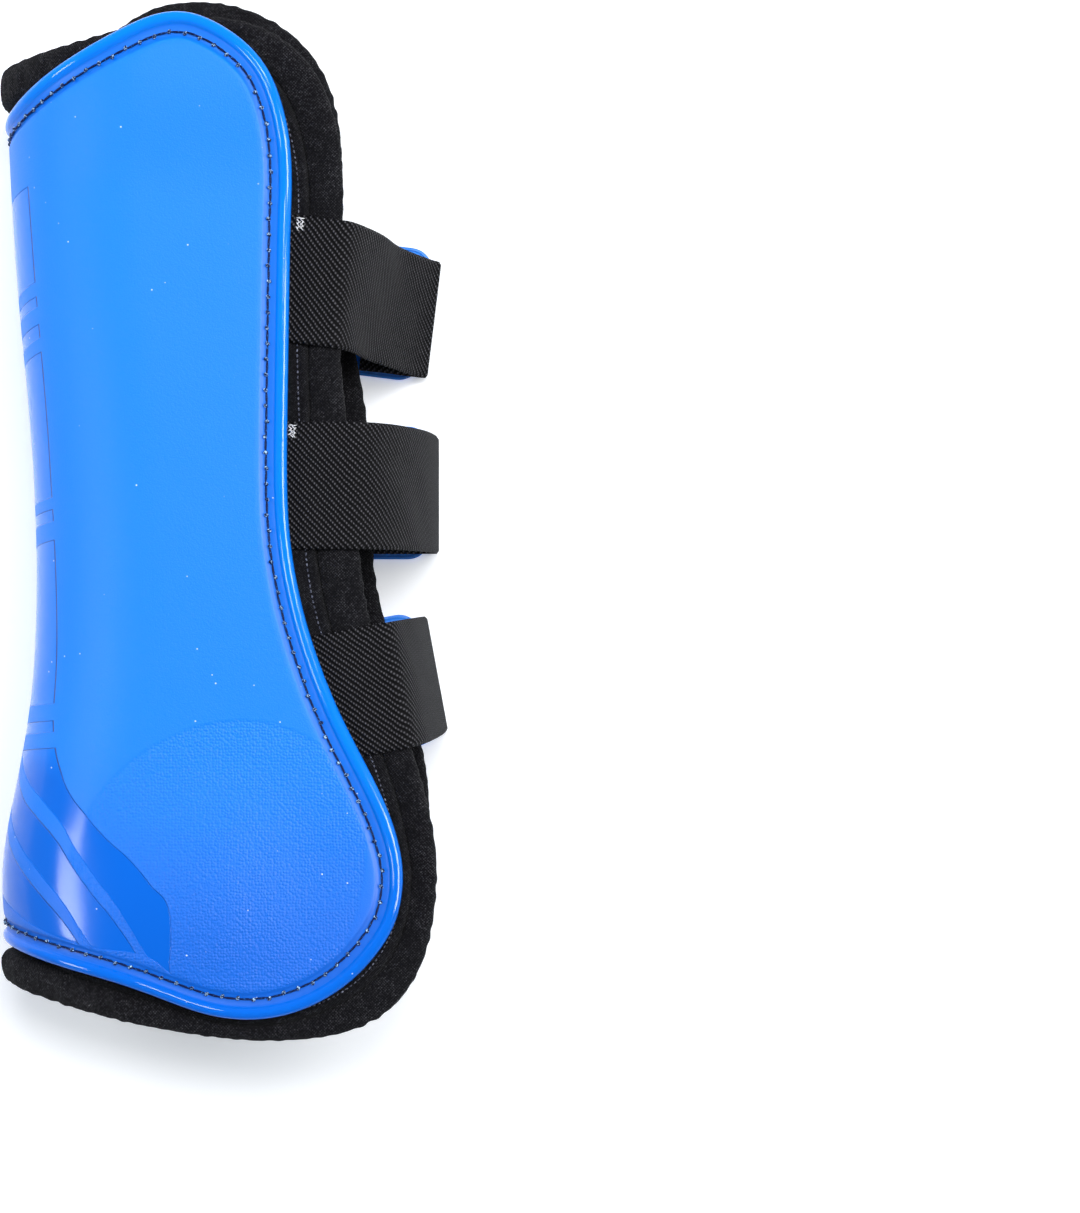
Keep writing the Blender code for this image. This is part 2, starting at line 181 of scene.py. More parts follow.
def ease(u: np.ndarray | float) -> np.ndarray | float:
    """Ease from 0 to 1 with a flat start and end."""
    u = np.clip(u, 0.0, 1.0)
    return u * u * (3 - 2 * u)


def resample(points: Points | np.ndarray, cells: int) -> np.ndarray:
    """The same line cut in even steps.

    Args:
        points: the line.
        cells: how many steps.

    Returns:
        One more point than there are steps.
    """
    p = np.array(points, float)
    length = np.concatenate([[0], np.cumsum(np.linalg.norm(np.diff(p, axis=0), axis=1))])
    at = np.linspace(0, length[-1], cells + 1)
    return np.column_stack([np.interp(at, length, p[:, 0]), np.interp(at, length, p[:, 1])])


def loop_of(sides: Sides) -> np.ndarray:
    """Closed clockwise outline of four edges."""
    top, right, bottom, left = sides
    return np.vstack([top, right[1:], bottom[-2::-1], left[-2:0:-1]])


def sides_of(loop: np.ndarray, across: int, along: int) -> Sides:
    """Four edges of a closed outline."""
    closed = np.vstack([loop, loop[:1]])
    return (closed[:across + 1], closed[across:across + along + 1],
            closed[across + along:2 * across + along + 1][::-1], closed[2 * across + along:][::-1])


def inset(loop: np.ndarray, by: float | np.ndarray) -> np.ndarray:
    """The outline moved inwards by one distance, or one per point."""
    ahead = np.roll(loop, -1, axis=0) - np.roll(loop, 1, axis=0)
    ahead = ahead / np.linalg.norm(ahead, axis=1)[:, None]
    by = np.broadcast_to(by, (len(loop),))[:, None]
    return loop + by * np.column_stack([ahead[:, 1], -ahead[:, 0]])


def finer(loop: np.ndarray, times: int) -> np.ndarray:
    """A closed outline with more points, eased round its corners.

    Args:
        loop: the outline.
        times: how many points for each one.

    Returns:
        The finer outline.
    """
    closed = np.vstack([loop, loop[:1]])
    at = np.arange(len(loop) * times) / times
    fine = np.column_stack([np.interp(at, np.arange(len(closed)), closed[:, k]) for k in (0, 1)])
    for _ in range(2):
        fine = (np.roll(fine, 1, axis=0) + 2 * fine + np.roll(fine, -1, axis=0)) / 4
    return fine


def flat_sheet(name: str, sides: Sides, profile: Points) -> bpy.types.Object:
    """Model one face of a sheet flat: a grid inside, then its border extruded out ring by ring.

    Args:
        name: the piece's name.
        sides: top, right, bottom and left edges of the cut, in mm.
        profile: (inset, depth) of each ring, from the edge inwards.

    Returns:
        The open sheet, face up, with its flat places as its corners.
    """
    across, along = len(sides[0]) - 1, len(sides[1]) - 1
    deselect_all()
    bpy.ops.mesh.primitive_grid_add(x_subdivisions=across, y_subdivisions=along, size=2.0)
    obj = bpy.context.object
    obj.name = obj.data.name = name
    mesh = obj.data
    loop = loop_of(sides)
    top, right, bottom, left = sides_of(inset(loop, profile[-1][0]), across, along)
    grid = get_points(mesh)
    i = np.rint((grid[:, 0] + 1) / 2 * across).astype(int)
    j = np.rint((1 - grid[:, 1]) / 2 * along).astype(int)
    u, v = (i / across)[:, None], (j / along)[:, None]
    corner = (1 - u) * ((1 - v) * top[0] + v * bottom[0]) + u * ((1 - v) * top[-1] + v * bottom[-1])
    place = (1 - v) * top[i] + v * bottom[i] + (1 - u) * left[j] + u * right[j] - corner
    set_points(mesh, np.column_stack([place, np.full(len(place), profile[-1][1])]))
    order = np.full(len(grid), -1)
    order[j == 0] = i[j == 0]
    order[i == across] = across + j[i == across]
    order[j == along] = (2 * across + along) - i[j == along]
    on_left = (i == 0) & (j > 0)
    order[on_left] = (2 * across + 2 * along - j[on_left]) % len(loop)
    attribute = mesh.attributes.new("order", "INT", "POINT")
    attribute.data.foreach_set("value", order.astype(np.int32))
    select_only(obj)
    bpy.ops.object.mode_set(mode="EDIT")
    bpy.ops.mesh.select_mode(type="EDGE")
    for by, depth in profile[-2::-1]:
        ring = inset(loop, by)
        bpy.ops.mesh.select_all(action="DESELECT")
        bpy.ops.mesh.select_non_manifold()
        bpy.ops.mesh.extrude_edges_move()
        bm = bmesh.from_edit_mesh(mesh)
        layer = bm.verts.layers.int["order"]
        for vert in bm.verts:
            if vert.select:
                x, y = ring[vert[layer]]
                vert.co = (x, y, depth)
        bmesh.update_edit_mesh(mesh)
    bpy.ops.mesh.select_all(action="SELECT")
    bpy.ops.mesh.normals_make_consistent(inside=False)
    bpy.ops.object.mode_set(mode="OBJECT")
    middle = mesh.polygons[len(mesh.polygons) // 3]
    if middle.normal.z < 0:
        mesh.flip_normals()
    mesh.attributes.remove(mesh.attributes["order"])
    return obj


def thicken(obj: bpy.types.Object, thickness: float) -> None:
    """Give a flat sheet its wall, below its face.

    Args:
        obj: the sheet, in mm.
        thickness: of the wall, in mm.
    """
    wall = obj.modifiers.new("wall", "SOLIDIFY")
    wall.thickness = thickness
    wall.offset = -1.0
    apply_modifiers(obj)


def ring_tube(name: str, rings: list[np.ndarray]) -> bpy.types.Object:
    """Closed roll through rings of equal count, each a closed line of (s, y, d).

    Args:
        name: the piece's name.
        rings: the lines, in order round the roll's section.

    Returns:
        The closed roll, flat.
    """
    count = len(rings[0])
    faces = []
    for a in range(len(rings)):
        b = (a + 1) % len(rings)
        faces += [(a * count + k, a * count + (k + 1) % count, b * count + (k + 1) % count, b * count + k)
                  for k in range(count)]
    return mesh_object(name, np.vstack(rings), faces)


def stitch_shape(length: float, radius: float) -> bpy.types.Mesh:
    """One stitch: a small ball drawn out along X, in mm.

    Args:
        length: of the stitch.
        radius: of the thread.

    Returns:
        The mesh to copy.
    """
    deselect_all()
    bpy.ops.mesh.primitive_uv_sphere_add(segments=7, ring_count=5, radius=radius)
    obj = bpy.context.object
    bpy.ops.object.mode_set(mode="EDIT")
    bpy.ops.mesh.select_all(action="SELECT")
    bpy.ops.transform.rotate(value=math.pi / 2, orient_axis="Y", center_override=(0, 0, 0))
    bpy.ops.transform.resize(value=(length / 2 / radius, 1, 1))
    bpy.ops.object.mode_set(mode="OBJECT")
    mesh = obj.data.copy()
    bpy.data.objects.remove(obj, do_unlink=True)
    return mesh


def lay_copies(name: str, shape: bpy.types.Mesh, places: list[Matrix]) -> bpy.types.Object:
    """Copy a small shape to many places as one piece.

    Args:
        name: the piece's name.
        shape: what is repeated, in mm.
        places: where each copy goes.

    Returns:
        The piece, in metres.
    """
    base = get_points(shape) * MM
    faces = [tuple(f.vertices) for f in shape.polygons]
    points, all_faces = [], []
    for n, place in enumerate(places):
        m = np.array(place)
        points.append(base @ m[:3, :3].T + m[:3, 3])
        all_faces += [tuple(k + n * len(base) for k in f) for f in faces]
    obj = mesh_object(name, np.vstack(points), all_faces)
    face_outwards(obj.data)
    smooth_shade(obj, 80)
    return obj


def frame_at(centre: np.ndarray, ahead: np.ndarray, outward: np.ndarray, roll: float = 0.0) -> Matrix:
    """Place of a copy: X along the seam, Z out of the cloth.

    Args:
        centre: its centre, in metres.
        ahead: direction along the seam.
        outward: direction away from the cloth.
        roll: turn within the cloth, in radians.

    Returns:
        The placing matrix.
    """
    x = Vector(ahead).normalized()
    z = Vector(outward)
    z = (z - x * z.dot(x)).normalized()
    y = z.cross(x)
    turn = Matrix((x, y, z)).transposed().to_4x4() @ Matrix.Rotation(roll, 4, "Z")
    return Matrix.Translation(Vector(centre)) @ turn


# ---------------------------------------------------------------------------------------------- boot form


def natural_spline(knots: tuple[float, ...], values: tuple[float, ...]):
    """Smooth curve through the points.

    Args:
        knots: places along the curve.
        values: its value at each.

    Returns:
        A function of the place, for arrays.
    """
    k, v = np.array(knots, float), np.array(values, float)
    step = np.diff(k)
    n = len(k)
    system, right = np.eye(n), np.zeros(n)
    for i in range(1, n - 1):
        system[i, i - 1:i + 2] = step[i - 1], 2 * (step[i - 1] + step[i]), step[i]
        right[i] = 6 * ((v[i + 1] - v[i]) / step[i] - (v[i] - v[i - 1]) / step[i - 1])
    bend = np.linalg.solve(system, right)

    def curve(x: np.ndarray) -> np.ndarray:
        """Value at each place."""
        i = np.clip(np.searchsorted(k, x) - 1, 0, n - 2)
        a, b = (k[i + 1] - x) / step[i], (x - k[i]) / step[i]
        sag = ((a ** 3 - a) * bend[i] + (b ** 3 - b) * bend[i + 1]) * step[i] ** 2 / 6
        return a * v[i] + b * v[i + 1] + sag

    return curve


@dataclass
class BootForm:
    """The U-shaped form that every pattern is wrapped round, in mm."""

    curl_power: float = 1.25
    half_height: float = 31.0
    top_flare: float = 3.6
    top_flare_y: tuple[float, float] = (80.0, 115.0)
    foot_flare: float = 1.6
    foot_flare_y: tuple[float, float] = (-82.0, -112.0)
    bulb_height: float = 2.6
    bulb_centre: tuple[float, float] = (72.0, -90.0)
    bulb_radius: float = 32.0
    mid_z: float = 36.0
    spine_y: tuple[float, ...] = (-140.0, -106.0, -97.0, -83.0, -71.5, -52.0, -25.0, 6.0, 30.0, 57.0, 86.0,
                                  108.0, 140.0)
    spine_x: tuple[float, ...] = (-58.2, -60.5, -61.4, -60.9, -58.8, -55.1, -52.8, -53.1, -54.7, -57.2, -59.2,
                                  -60.1, -60.6)
    far_rise: float = 13.5
    far_pull: float = -4.0
    far_pull_ease: float = 5.0
    far_pull_y: float = 12.0
    far_pull_reach: float = 40.0
    shear_from: float = 5.0
    shear_over: float = 55.0
    girth_ease: float = 1.9
    girth_over: float = 60.0
    centre: tuple[float, float] = (-4.01, 6.47)

    def __post_init__(self) -> None:
        """Work out the section for a half-height of one."""
        fine = np.linspace(0.0, 1.0, 2001)
        heights = np.sin(math.pi / 2 * fine ** self.curl_power)
        curl = 1.0 / float(np.sum((heights[1:] + heights[:-1]) / 2) / 2000)
        self.t = np.linspace(0.0, 6.0, 3001)
        self.angle = math.pi / 2 * np.clip(1 - self.t / curl, 0, 1) ** self.curl_power
        step = self.t[1] - self.t[0]
        cos, sin = np.cos(self.angle), np.sin(self.angle)
        self.out = np.concatenate([[0], np.cumsum((cos[1:] + cos[:-1]) / 2 * step)])
        self.rise = np.concatenate([[0], np.cumsum((sin[1:] + sin[:-1]) / 2 * step)])
        self.spine = natural_spline(self.spine_y, self.spine_x)

    def wrap(self, flat: np.ndarray) -> np.ndarray:
        """Wrap flat places round the form.

        Args:
            flat: rows of (s, y, d), in mm.

        Returns:
            Rows of (x, y, z), in metres.
        """
        s, y, d = flat[:, 0], flat[:, 1], flat[:, 2]
        side = np.where(s >= 0, 1.0, -1.0)
        reach = np.abs(s)
        h = (self.half_height
             + self.top_flare * ease((y - self.top_flare_y[0]) / (self.top_flare_y[1] - self.top_flare_y[0]))
             + self.foot_flare * ease((y - self.foot_flare_y[0]) / (self.foot_flare_y[1] - self.foot_flare_y[0])))
        t = reach / h
        angle = np.interp(t, self.t, self.angle)
        away = np.hypot(reach - self.bulb_centre[0], y - self.bulb_centre[1]) / self.bulb_radius
        bulb = np.where((away < 1) & (side > 0), self.bulb_height * np.cos(np.pi / 2 * np.clip(away, 0, 1)) ** 2, 0)
        x = self.spine(y) + h * np.interp(t, self.t, self.out) - np.sin(angle) * (d + bulb)
        z = self.mid_z + side * (h * np.interp(t, self.t, self.rise) + np.cos(angle) * (d + bulb))
        shear = np.where(side < 0, ease((reach - self.shear_from) / self.shear_over), 0.0)
        pull = self.far_pull + self.far_pull_ease * np.exp(-((y - self.far_pull_y) / self.far_pull_reach) ** 2)
        return self.place(np.column_stack([x + shear * pull, y + shear * self.far_rise, z]))

    def place(self, plain: np.ndarray) -> np.ndarray:
        """Turn plain (x, y, z) in mm into metres in the frame."""
        return (plain - np.array([self.centre[0], self.centre[1], 0.0])) * MM

    def below_far_wing(self, plain: np.ndarray) -> np.ndarray:
        """Places a depth below the far wing's outer face.

        Args:
            plain: rows of (x, y, depth), in mm.

        Returns:
            Rows of (x, y, z), in metres.
        """
        target = (plain[:, 0] - self.centre[0]) * MM
        low, high = np.full(len(plain), -140.0), np.full(len(plain), -2.0)
        for _ in range(40):
            s = (low + high) / 2
            shear = ease((-s - self.shear_from) / self.shear_over)
            at = self.wrap(np.column_stack([s, plain[:, 1] - shear * self.far_rise, np.zeros(len(s))]))[:, 0]
            low, high = np.where(at > target, s, low), np.where(at > target, high, s)
        shear = ease((-s - self.shear_from) / self.shear_over)
        z = self.wrap(np.column_stack([s, plain[:, 1] - shear * self.far_rise, plain[:, 2]]))[:, 2]
        xy = self.place(np.column_stack([plain[:, :2], np.zeros(len(s))]))
        return np.column_stack([xy[:, :2], z])

    def edges(self, controls: Points, corners: tuple[float, float], cells: tuple[int, int]) -> Sides:
        """Four edges of a cut that is the same on both wings.

        Args:
            controls: control points of the near half, from the spine's top to its foot.
            corners: control numbers at the top and bottom front corners.
            cells: steps across and along.

        Returns:
            Top, near front, bottom and far front edges.
        """
        controls = [(s + self.girth_ease * float(ease(s / self.girth_over)), y) for s, y in controls]
        ends = [(-controls[1][0], controls[1][1]), *controls, (-controls[-2][0], controls[-2][1])]
        c = np.array(ends, float)

        def stretch(start: float, end: float) -> np.ndarray:
            """Smooth line between two control numbers."""
            u = np.linspace(start, end, int((end - start) * 24) + 1)
            i = np.minimum(u.astype(int), len(controls) - 2)
            f = (u - i)[:, None]
            return ((1 - f) ** 3 * c[i] + (3 * f ** 3 - 6 * f ** 2 + 4) * c[i + 1]
                    + (-3 * f ** 3 + 3 * f ** 2 + 3 * f + 1) * c[i + 2] + f ** 3 * c[i + 3]) / 6

        mirror = np.array([-1.0, 1.0])
        top = resample(stretch(0, corners[0]), cells[0] // 2)
        front = resample(stretch(corners[0], corners[1]), cells[1])
        foot = resample(stretch(corners[1], len(controls) - 1), cells[0] // 2)[::-1]
        return (np.vstack([top[:0:-1] * mirror, top]), front, np.vstack([foot[:0:-1] * mirror, foot]),
                front * mirror)

    def wrap_piece(self, obj: bpy.types.Object) -> None:
        """Store a flat piece's pattern and wrap it round the form."""
        flat = get_points(obj.data)
        write_pattern_uv(obj.data, flat)
        set_points(obj.data, self.wrap(flat))
        face_outwards(obj.data)


# ---------------------------------------------------------------------------------------------- finishes


class NodeDesk:
    """Builds one material's node tree with short calls."""

    def __init__(self, name: str) -> None:
        """Start an empty material."""
        self.material = bpy.data.materials.new(name)
        self.material.use_nodes = True
        self.tree = self.material.node_tree
        self.tree.nodes.clear()
        self.output = self.tree.nodes.new("ShaderNodeOutputMaterial")

    def put(self, kind: str, *inputs: object, **settings: object) -> bpy.types.Node:
        """Add a node.

        Args:
            kind: the node's type.
            inputs: values or sockets for its inputs, in order; None leaves one alone.
            settings: its properties.

        Returns:
            The node.
        """
        node = self.tree.nodes.new(kind)
        for key, value in settings.items():
            setattr(node, key, value)
        for socket, value in zip(node.inputs, inputs):
            self.feed(socket, value)
        return node

    def feed(self, socket: bpy.types.NodeSocket, value: object) -> None:
        """Link or set one input."""
        if value is None:
            return
        if isinstance(value, bpy.types.NodeSocket):
            self.tree.links.new(value, socket)
        else:
            socket.default_value = value

    def math(self, operation: str, a: object, b: object = None, c: object = None) -> bpy.types.NodeSocket:
        """Result of a math node."""
        return self.put("ShaderNodeMath", a, b, c, operation=operation).outputs[0]

    def step(self, value: object, low: float, high: float, start: float = 0.0, end: float = 1.0
             ) -> bpy.types.NodeSocket:
        """Smooth step of a value from low to high.

        Args:
            value: the value.
            low: where the step starts.
            high: where it ends.
            start: the result before it.
            end: the result after it.

        Returns:
            The result.
        """
        node = self.put("ShaderNodeMapRange", interpolation_type="SMOOTHSTEP")
        for key, entry in (("Value", value), ("From Min", low), ("From Max", high), ("To Min", start),
                           ("To Max", end)):
            self.feed(node.inputs[key], entry)
        return node.outputs["Result"]

    def curve(self, value: object, points: Points, x_span: tuple[float, float], y_span: tuple[float, float]
              ) -> bpy.types.NodeSocket:
        """A drawn curve of a value.

        Args:
            value: what the curve is read at.
            points: the curve's points.
            x_span: range of the value.
            y_span: range of the result.

        Returns:
            The curve's value.
        """
        share = self.math("DIVIDE", self.math("SUBTRACT", value, x_span[0]), x_span[1] - x_span[0])
        node = self.put("ShaderNodeFloatCurve")
        self.feed(node.inputs["Value"], share)
        line = node.mapping.curves[0]
        scaled = [((x - x_span[0]) / (x_span[1] - x_span[0]), (y - y_span[0]) / (y_span[1] - y_span[0]))
                  for x, y in sorted(points)]
        while len(line.points) < len(scaled):
            line.points.new(0.5, 0.5)
        for point, (x, y) in zip(line.points, scaled):
            point.location = (x, y)
            point.handle_type = "AUTO"
        node.mapping.update()
        return self.math("MULTIPLY_ADD", node.outputs["Value"], y_span[1] - y_span[0], y_span[0])

    def pattern(self) -> tuple[bpy.types.NodeSocket, bpy.types.NodeSocket]:
        """The piece's flat place: across and along, in mm."""
        uv = self.put("ShaderNodeUVMap", uv_map="pattern").outputs["UV"]
        parts = self.put("ShaderNodeSeparateXYZ", uv)
        return tuple(self.math("MULTIPLY_ADD", parts.outputs[k], UV_SPAN, -UV_SPAN / 2) for k in (0, 1))

    def place_mm(self) -> bpy.types.NodeSocket:
        """Object place in mm."""
        place = self.put("ShaderNodeTexCoord").outputs["Object"]
        node = self.put("ShaderNodeVectorMath", operation="SCALE")
        self.feed(node.inputs[0], place)
        self.feed(node.inputs["Scale"], 1000.0)
        return node.outputs[0]

    def noise(self, vector: object, scale: float, detail: float = 2.0, rough: float = 0.5
              ) -> bpy.types.NodeSocket:
        """Noise from 0 to 1."""
        node = self.put("ShaderNodeTexNoise")
        for key, value in (("Vector", vector), ("Scale", scale), ("Detail", detail), ("Roughness", rough)):
            self.feed(node.inputs[key], value)
        return node.outputs[0]

    def cells(self, vector: object, scale: float, feature: str = "F1", spread: float = 1.0
              ) -> bpy.types.NodeSocket:
        """Distance in a cell pattern."""
        node = self.put("ShaderNodeTexVoronoi", feature=feature)
        for key, value in (("Vector", vector), ("Scale", scale), ("Randomness", spread)):
            self.feed(node.inputs[key], value)
        return node.outputs["Distance"]

    def mix(self, share: object, a: object, b: object) -> bpy.types.NodeSocket:
        """Blend of two colours."""
        node = self.put("ShaderNodeMix", data_type="RGBA")
        self.feed(node.inputs[0], share)
        self.feed(node.inputs[6], a)
        self.feed(node.inputs[7], b)
        return node.outputs[2]

    def blend(self, share: object, a: object, b: object) -> bpy.types.NodeSocket:
        """Blend of two numbers."""
        node = self.put("ShaderNodeMix", data_type="FLOAT")
        for k, value in ((0, share), (2, a), (3, b)):
            self.feed(node.inputs[k], value)
        return node.outputs[0]

    def bump(self, height_mm: object, strength: float = 1.0) -> bpy.types.NodeSocket:
        """Surface relief from a height in mm."""
        node = self.put("ShaderNodeBump")
        for key, value in (("Strength", strength), ("Distance", MM), ("Height", height_mm)):
            self.feed(node.inputs[key], value)
        return node.outputs["Normal"]

    def surface(self, **inputs: object) -> bpy.types.Material:
        """Finish with a principled surface.

        Args:
            inputs: its inputs, with underscores for spaces.

        Returns:
            The material.
        """
        shader = self.put("ShaderNodeBsdfPrincipled")
        for key, value in inputs.items():
            self.feed(shader.inputs[key.replace("_", " ")], value)
        self.tree.links.new(shader.outputs[0], self.output.inputs[0])
        return self.material


def rgba(r: float, g: float, b: float) -> tuple[float, float, float, float]:
    """A solid colour, linear."""
    return (r, g, b, 1.0)


@dataclass(frozen=True)
class MouldedShellFinish:
    """Blue moulded polyurethane: matte grained wing, pebbled bulb, glossy spine band, leaf and rim."""

    colour: tuple[float, float, float, float] = rgba(0.001, 0.205, 0.88)
    # painted shade: the blue made darker towards the foot and bulb, where less light falls
    lower_shade: tuple[float, float, float, float] = rgba(0.0006, 0.120, 0.64)
    # painted shade: darker blue laid in the recessed gloss band and leaf and in the rim's channel
    recess_shade: tuple[float, float, float, float] = rgba(0.0006, 0.115, 0.62)
    # painted shade for the thin groove along the gloss band's edge
    shade: tuple[float, float, float, float] = rgba(0.001, 0.060, 0.36)
    dust: tuple[float, float, float, float] = rgba(0.62, 0.78, 0.95)
    matte: float = 0.44
    gloss: float = 0.15
    polish: float = 0.06
    recess: float = 0.30
    rim_width: float = 6.9
    band_edge: tuple[tuple[float, float], ...] = (
        (-120, 63.8), (-110.4, 64.1), (-104.3, 65.0), (-96.7, 65.0), (-90.5, 60.2), (-84.9, 54.9), (-78.3, 46.4),
        (-73.2, 40.6), (-67.5, 34.4), (-62.5, 30.6), (-57, 27.3), (-50, 24.8), (-34.5, 23.6), (7.3, 21.3),
        (25.5, 21.3), (61.5, 21.6), (92, 21.2))
    stripe_a: tuple[tuple[float, float], ...] = (
        (0, -56), (17.6, -67.8), (25.5, -72), (34, -77.8), (39.3, -83.8), (46.6, -92), (50, -95.8), (54.5, -102.5),
        (57.5, -108.3), (64, -119))
    stripe_b: tuple[tuple[float, float], ...] = (
        (0, -71), (16.9, -81.9), (24.5, -87), (30.9, -91.8), (37.5, -97.9), (42.9, -105.8), (50, -117))
    hem_line: tuple[tuple[float, float], ...] = (
        (0, -93.5), (17.9, -98.2), (24.8, -100.7), (33.2, -103.5), (44.9, -106.3), (56.5, -107.6), (63, -111.5))
    bars: tuple[tuple[float, float, float], ...] = (
        (0.20, 53.4, 57.0), (0.20, 46.4, 50.8), (0.20, 39.4, 43.0), (0.12, 1.1, 4.1), (0.12, -6.7, -1.9),
        (0.08, -51.9, -47.5), (0.08, -58.9, -54.8))
    band_top: tuple[float, float] = (0.20, 81.4)
    pebble_centre: tuple[float, float] = (75.5, -87.0)
    pebble_radius: float = 37.5
    pebble_cells: float = 1.3
    pebble_depth: float = 0.21
    grain_depth: float = 0.085
    groove_depth: float = 0.10
    swell_depth: float = 0.10
    specular: float = 0.24
    soft: float = 0.22

    def build(self) -> bpy.types.Material:
        """Make the material."""
        d = NodeDesk("moulded_shell")
        s, y = d.pattern()
        reach = d.math("ABSOLUTE", s)
        soft = self.soft
        edge = d.curve(y, list(self.band_edge), (-120, 92), (0, 80))
        inside = d.math("SUBTRACT", edge, reach)
        glossy = d.step(inside, -soft, soft)
        groove = d.math("MULTIPLY", d.step(d.math("ABSOLUTE", inside), 0.16, 0.38, 1.0, 0.0), d.step(y, -66.0, -60.0))
        slope, top = self.band_top
        lean = d.math("MULTIPLY_ADD", reach, -slope, y)
        below_top = d.step(lean, top - soft, top + soft, 1.0, 0.0)
        glossy, groove = d.math("MULTIPLY", glossy, below_top), d.math("MULTIPLY", groove, below_top)
        for slope, low, high in self.bars:
            lean = d.math("MULTIPLY_ADD", reach, -slope, y)
            above, below = d.step(lean, low - soft, low + soft), d.step(lean, high - soft, high + soft, 1, 0)
            bar = d.math("MULTIPLY", above, below)
            gap = d.math("SUBTRACT", 1.0, bar)
            glossy, groove = d.math("MULTIPLY", glossy, gap), d.math("MULTIPLY", groove, gap)
        for line, half in ((self.stripe_a, 2.35), (self.stripe_b, 2.4)):
            off = d.math("ABSOLUTE", d.math("SUBTRACT", y, d.curve(reach, list(line), (0, 64), (-120, -50))))
            glossy = d.math("MULTIPLY", glossy, d.step(off, half - soft, half + soft))
        low = d.curve(reach, list(self.hem_line), (0, 63), (-120, -90))
        glossy = d.math("MULTIPLY", glossy, d.step(d.math("SUBTRACT", y, low), -soft, soft))
        edge_mm = d.put("ShaderNodeAttribute", attribute_name="edge_mm").outputs["Fac"]
        rim = d.step(edge_mm, self.rim_width - 0.4, self.rim_width + 0.1, 1.0, 0.0)
        place = d.place_mm()
        away_s = d.math("SUBTRACT", reach, self.pebble_centre[0])
        away_y = d.math("SUBTRACT", y, self.pebble_centre[1])
        away = d.math("SQRT", d.math("ADD", d.math("POWER", away_s, 2.0), d.math("POWER", away_y, 2.0)))
        ragged = d.math("MULTIPLY_ADD", d.noise(place, 0.35, 2.0), 1.0, away)
        pebbled = d.step(ragged, self.pebble_radius, self.pebble_radius + 1.2, 1.0, 0.0)
        plain = d.math("MULTIPLY", d.math("SUBTRACT", 1.0, glossy), d.math("SUBTRACT", 1.0, rim))
        pebbled = d.math("MULTIPLY", pebbled, plain)
        grain = d.noise(place, 2.2, 3.0, 0.65)
        pebble = d.cells(place, self.pebble_cells, "F1", 0.6)
        swell = d.noise(place, 0.06, 1.0)
        height = d.math("MULTIPLY", d.math("MULTIPLY", grain, self.grain_depth), plain)
        height = d.math("MULTIPLY_ADD", d.math("MULTIPLY", pebble, pebbled), -self.pebble_depth, height)
        height = d.math("MULTIPLY_ADD", glossy, -self.recess, height)
        height = d.math("MULTIPLY_ADD", groove, -self.groove_depth, height)
        height = d.math("MULTIPLY_ADD", swell, self.swell_depth, height)
        shine = d.math("MAXIMUM", glossy, rim)
        bead = d.step(edge_mm, 2.9, 3.4, 1.0, 0.0)
        polished = d.blend(rim, self.gloss, d.blend(bead, self.matte, self.polish))
        rough = d.blend(shine, d.math("MULTIPLY_ADD", grain, 0.10, self.matte - 0.05), polished)
        smears = d.noise(place, 0.11, 3.0, 0.6)
        rough = d.math("MULTIPLY_ADD", smears, 0.03, rough)
        # painted shade: the shell's blue darkens towards the foot and bulb
        tone = d.mix(d.step(y, -112.0, -48.0, 0.9, 0.0), self.colour, self.lower_shade)
        # painted shade: the recessed gloss band darker, most of all on the leaf towards the foot
        tone = d.mix(d.math("MULTIPLY", glossy, d.step(y, -66.0, -54.0, 0.8, 0.15)), tone, self.recess_shade)
        # painted shade in the rim's recessed stitch channel, inside the bead
        channel = d.math("MULTIPLY", rim, d.blend(bead, 0.50, 0.0))
        tone = d.mix(channel, tone, self.recess_shade)
        # painted shade darkens the thin groove along the gloss band's edge
        tone = d.mix(d.math("MULTIPLY", groove, 0.85), tone, self.shade)
        speck = d.math("MULTIPLY", d.step(d.cells(place, 0.24, "F1"), 0.034, 0.064, 1.0, 0.0),
                       d.step(d.noise(place, 0.30, 0.0), 0.47, 0.55))
        tone = d.mix(d.math("MULTIPLY", speck, 0.85), tone, self.dust)
        return d.surface(Base_Color=tone, Roughness=rough, Normal=d.bump(height), Specular_IOR_Level=self.specular)


@dataclass(frozen=True)
class PuTabFinish:
    """Blue polyurethane of the closing tabs, with a fine leather grain."""

    colour: tuple[float, float, float, float] = rgba(0.002, 0.190, 0.86)
    edge: tuple[float, float, float, float] = rgba(0.006, 0.26, 0.92)

    def build(self) -> bpy.types.Material:
        """Make the material."""
        d = NodeDesk("pu_tab")
        place = d.place_mm()
        grain = d.cells(place, 1.3, "SMOOTH_F1")
        cloud = d.noise(place, 0.15, 3.0)
        tone = d.mix(cloud, self.colour, self.edge)
        rough = d.math("MULTIPLY_ADD", grain, 0.12, 0.32)
        height = d.math("MULTIPLY_ADD", grain, 0.09, d.math("MULTIPLY", cloud, 0.1))
        return d.surface(Base_Color=tone, Roughness=rough, Normal=d.bump(height), Specular_IOR_Level=0.45)


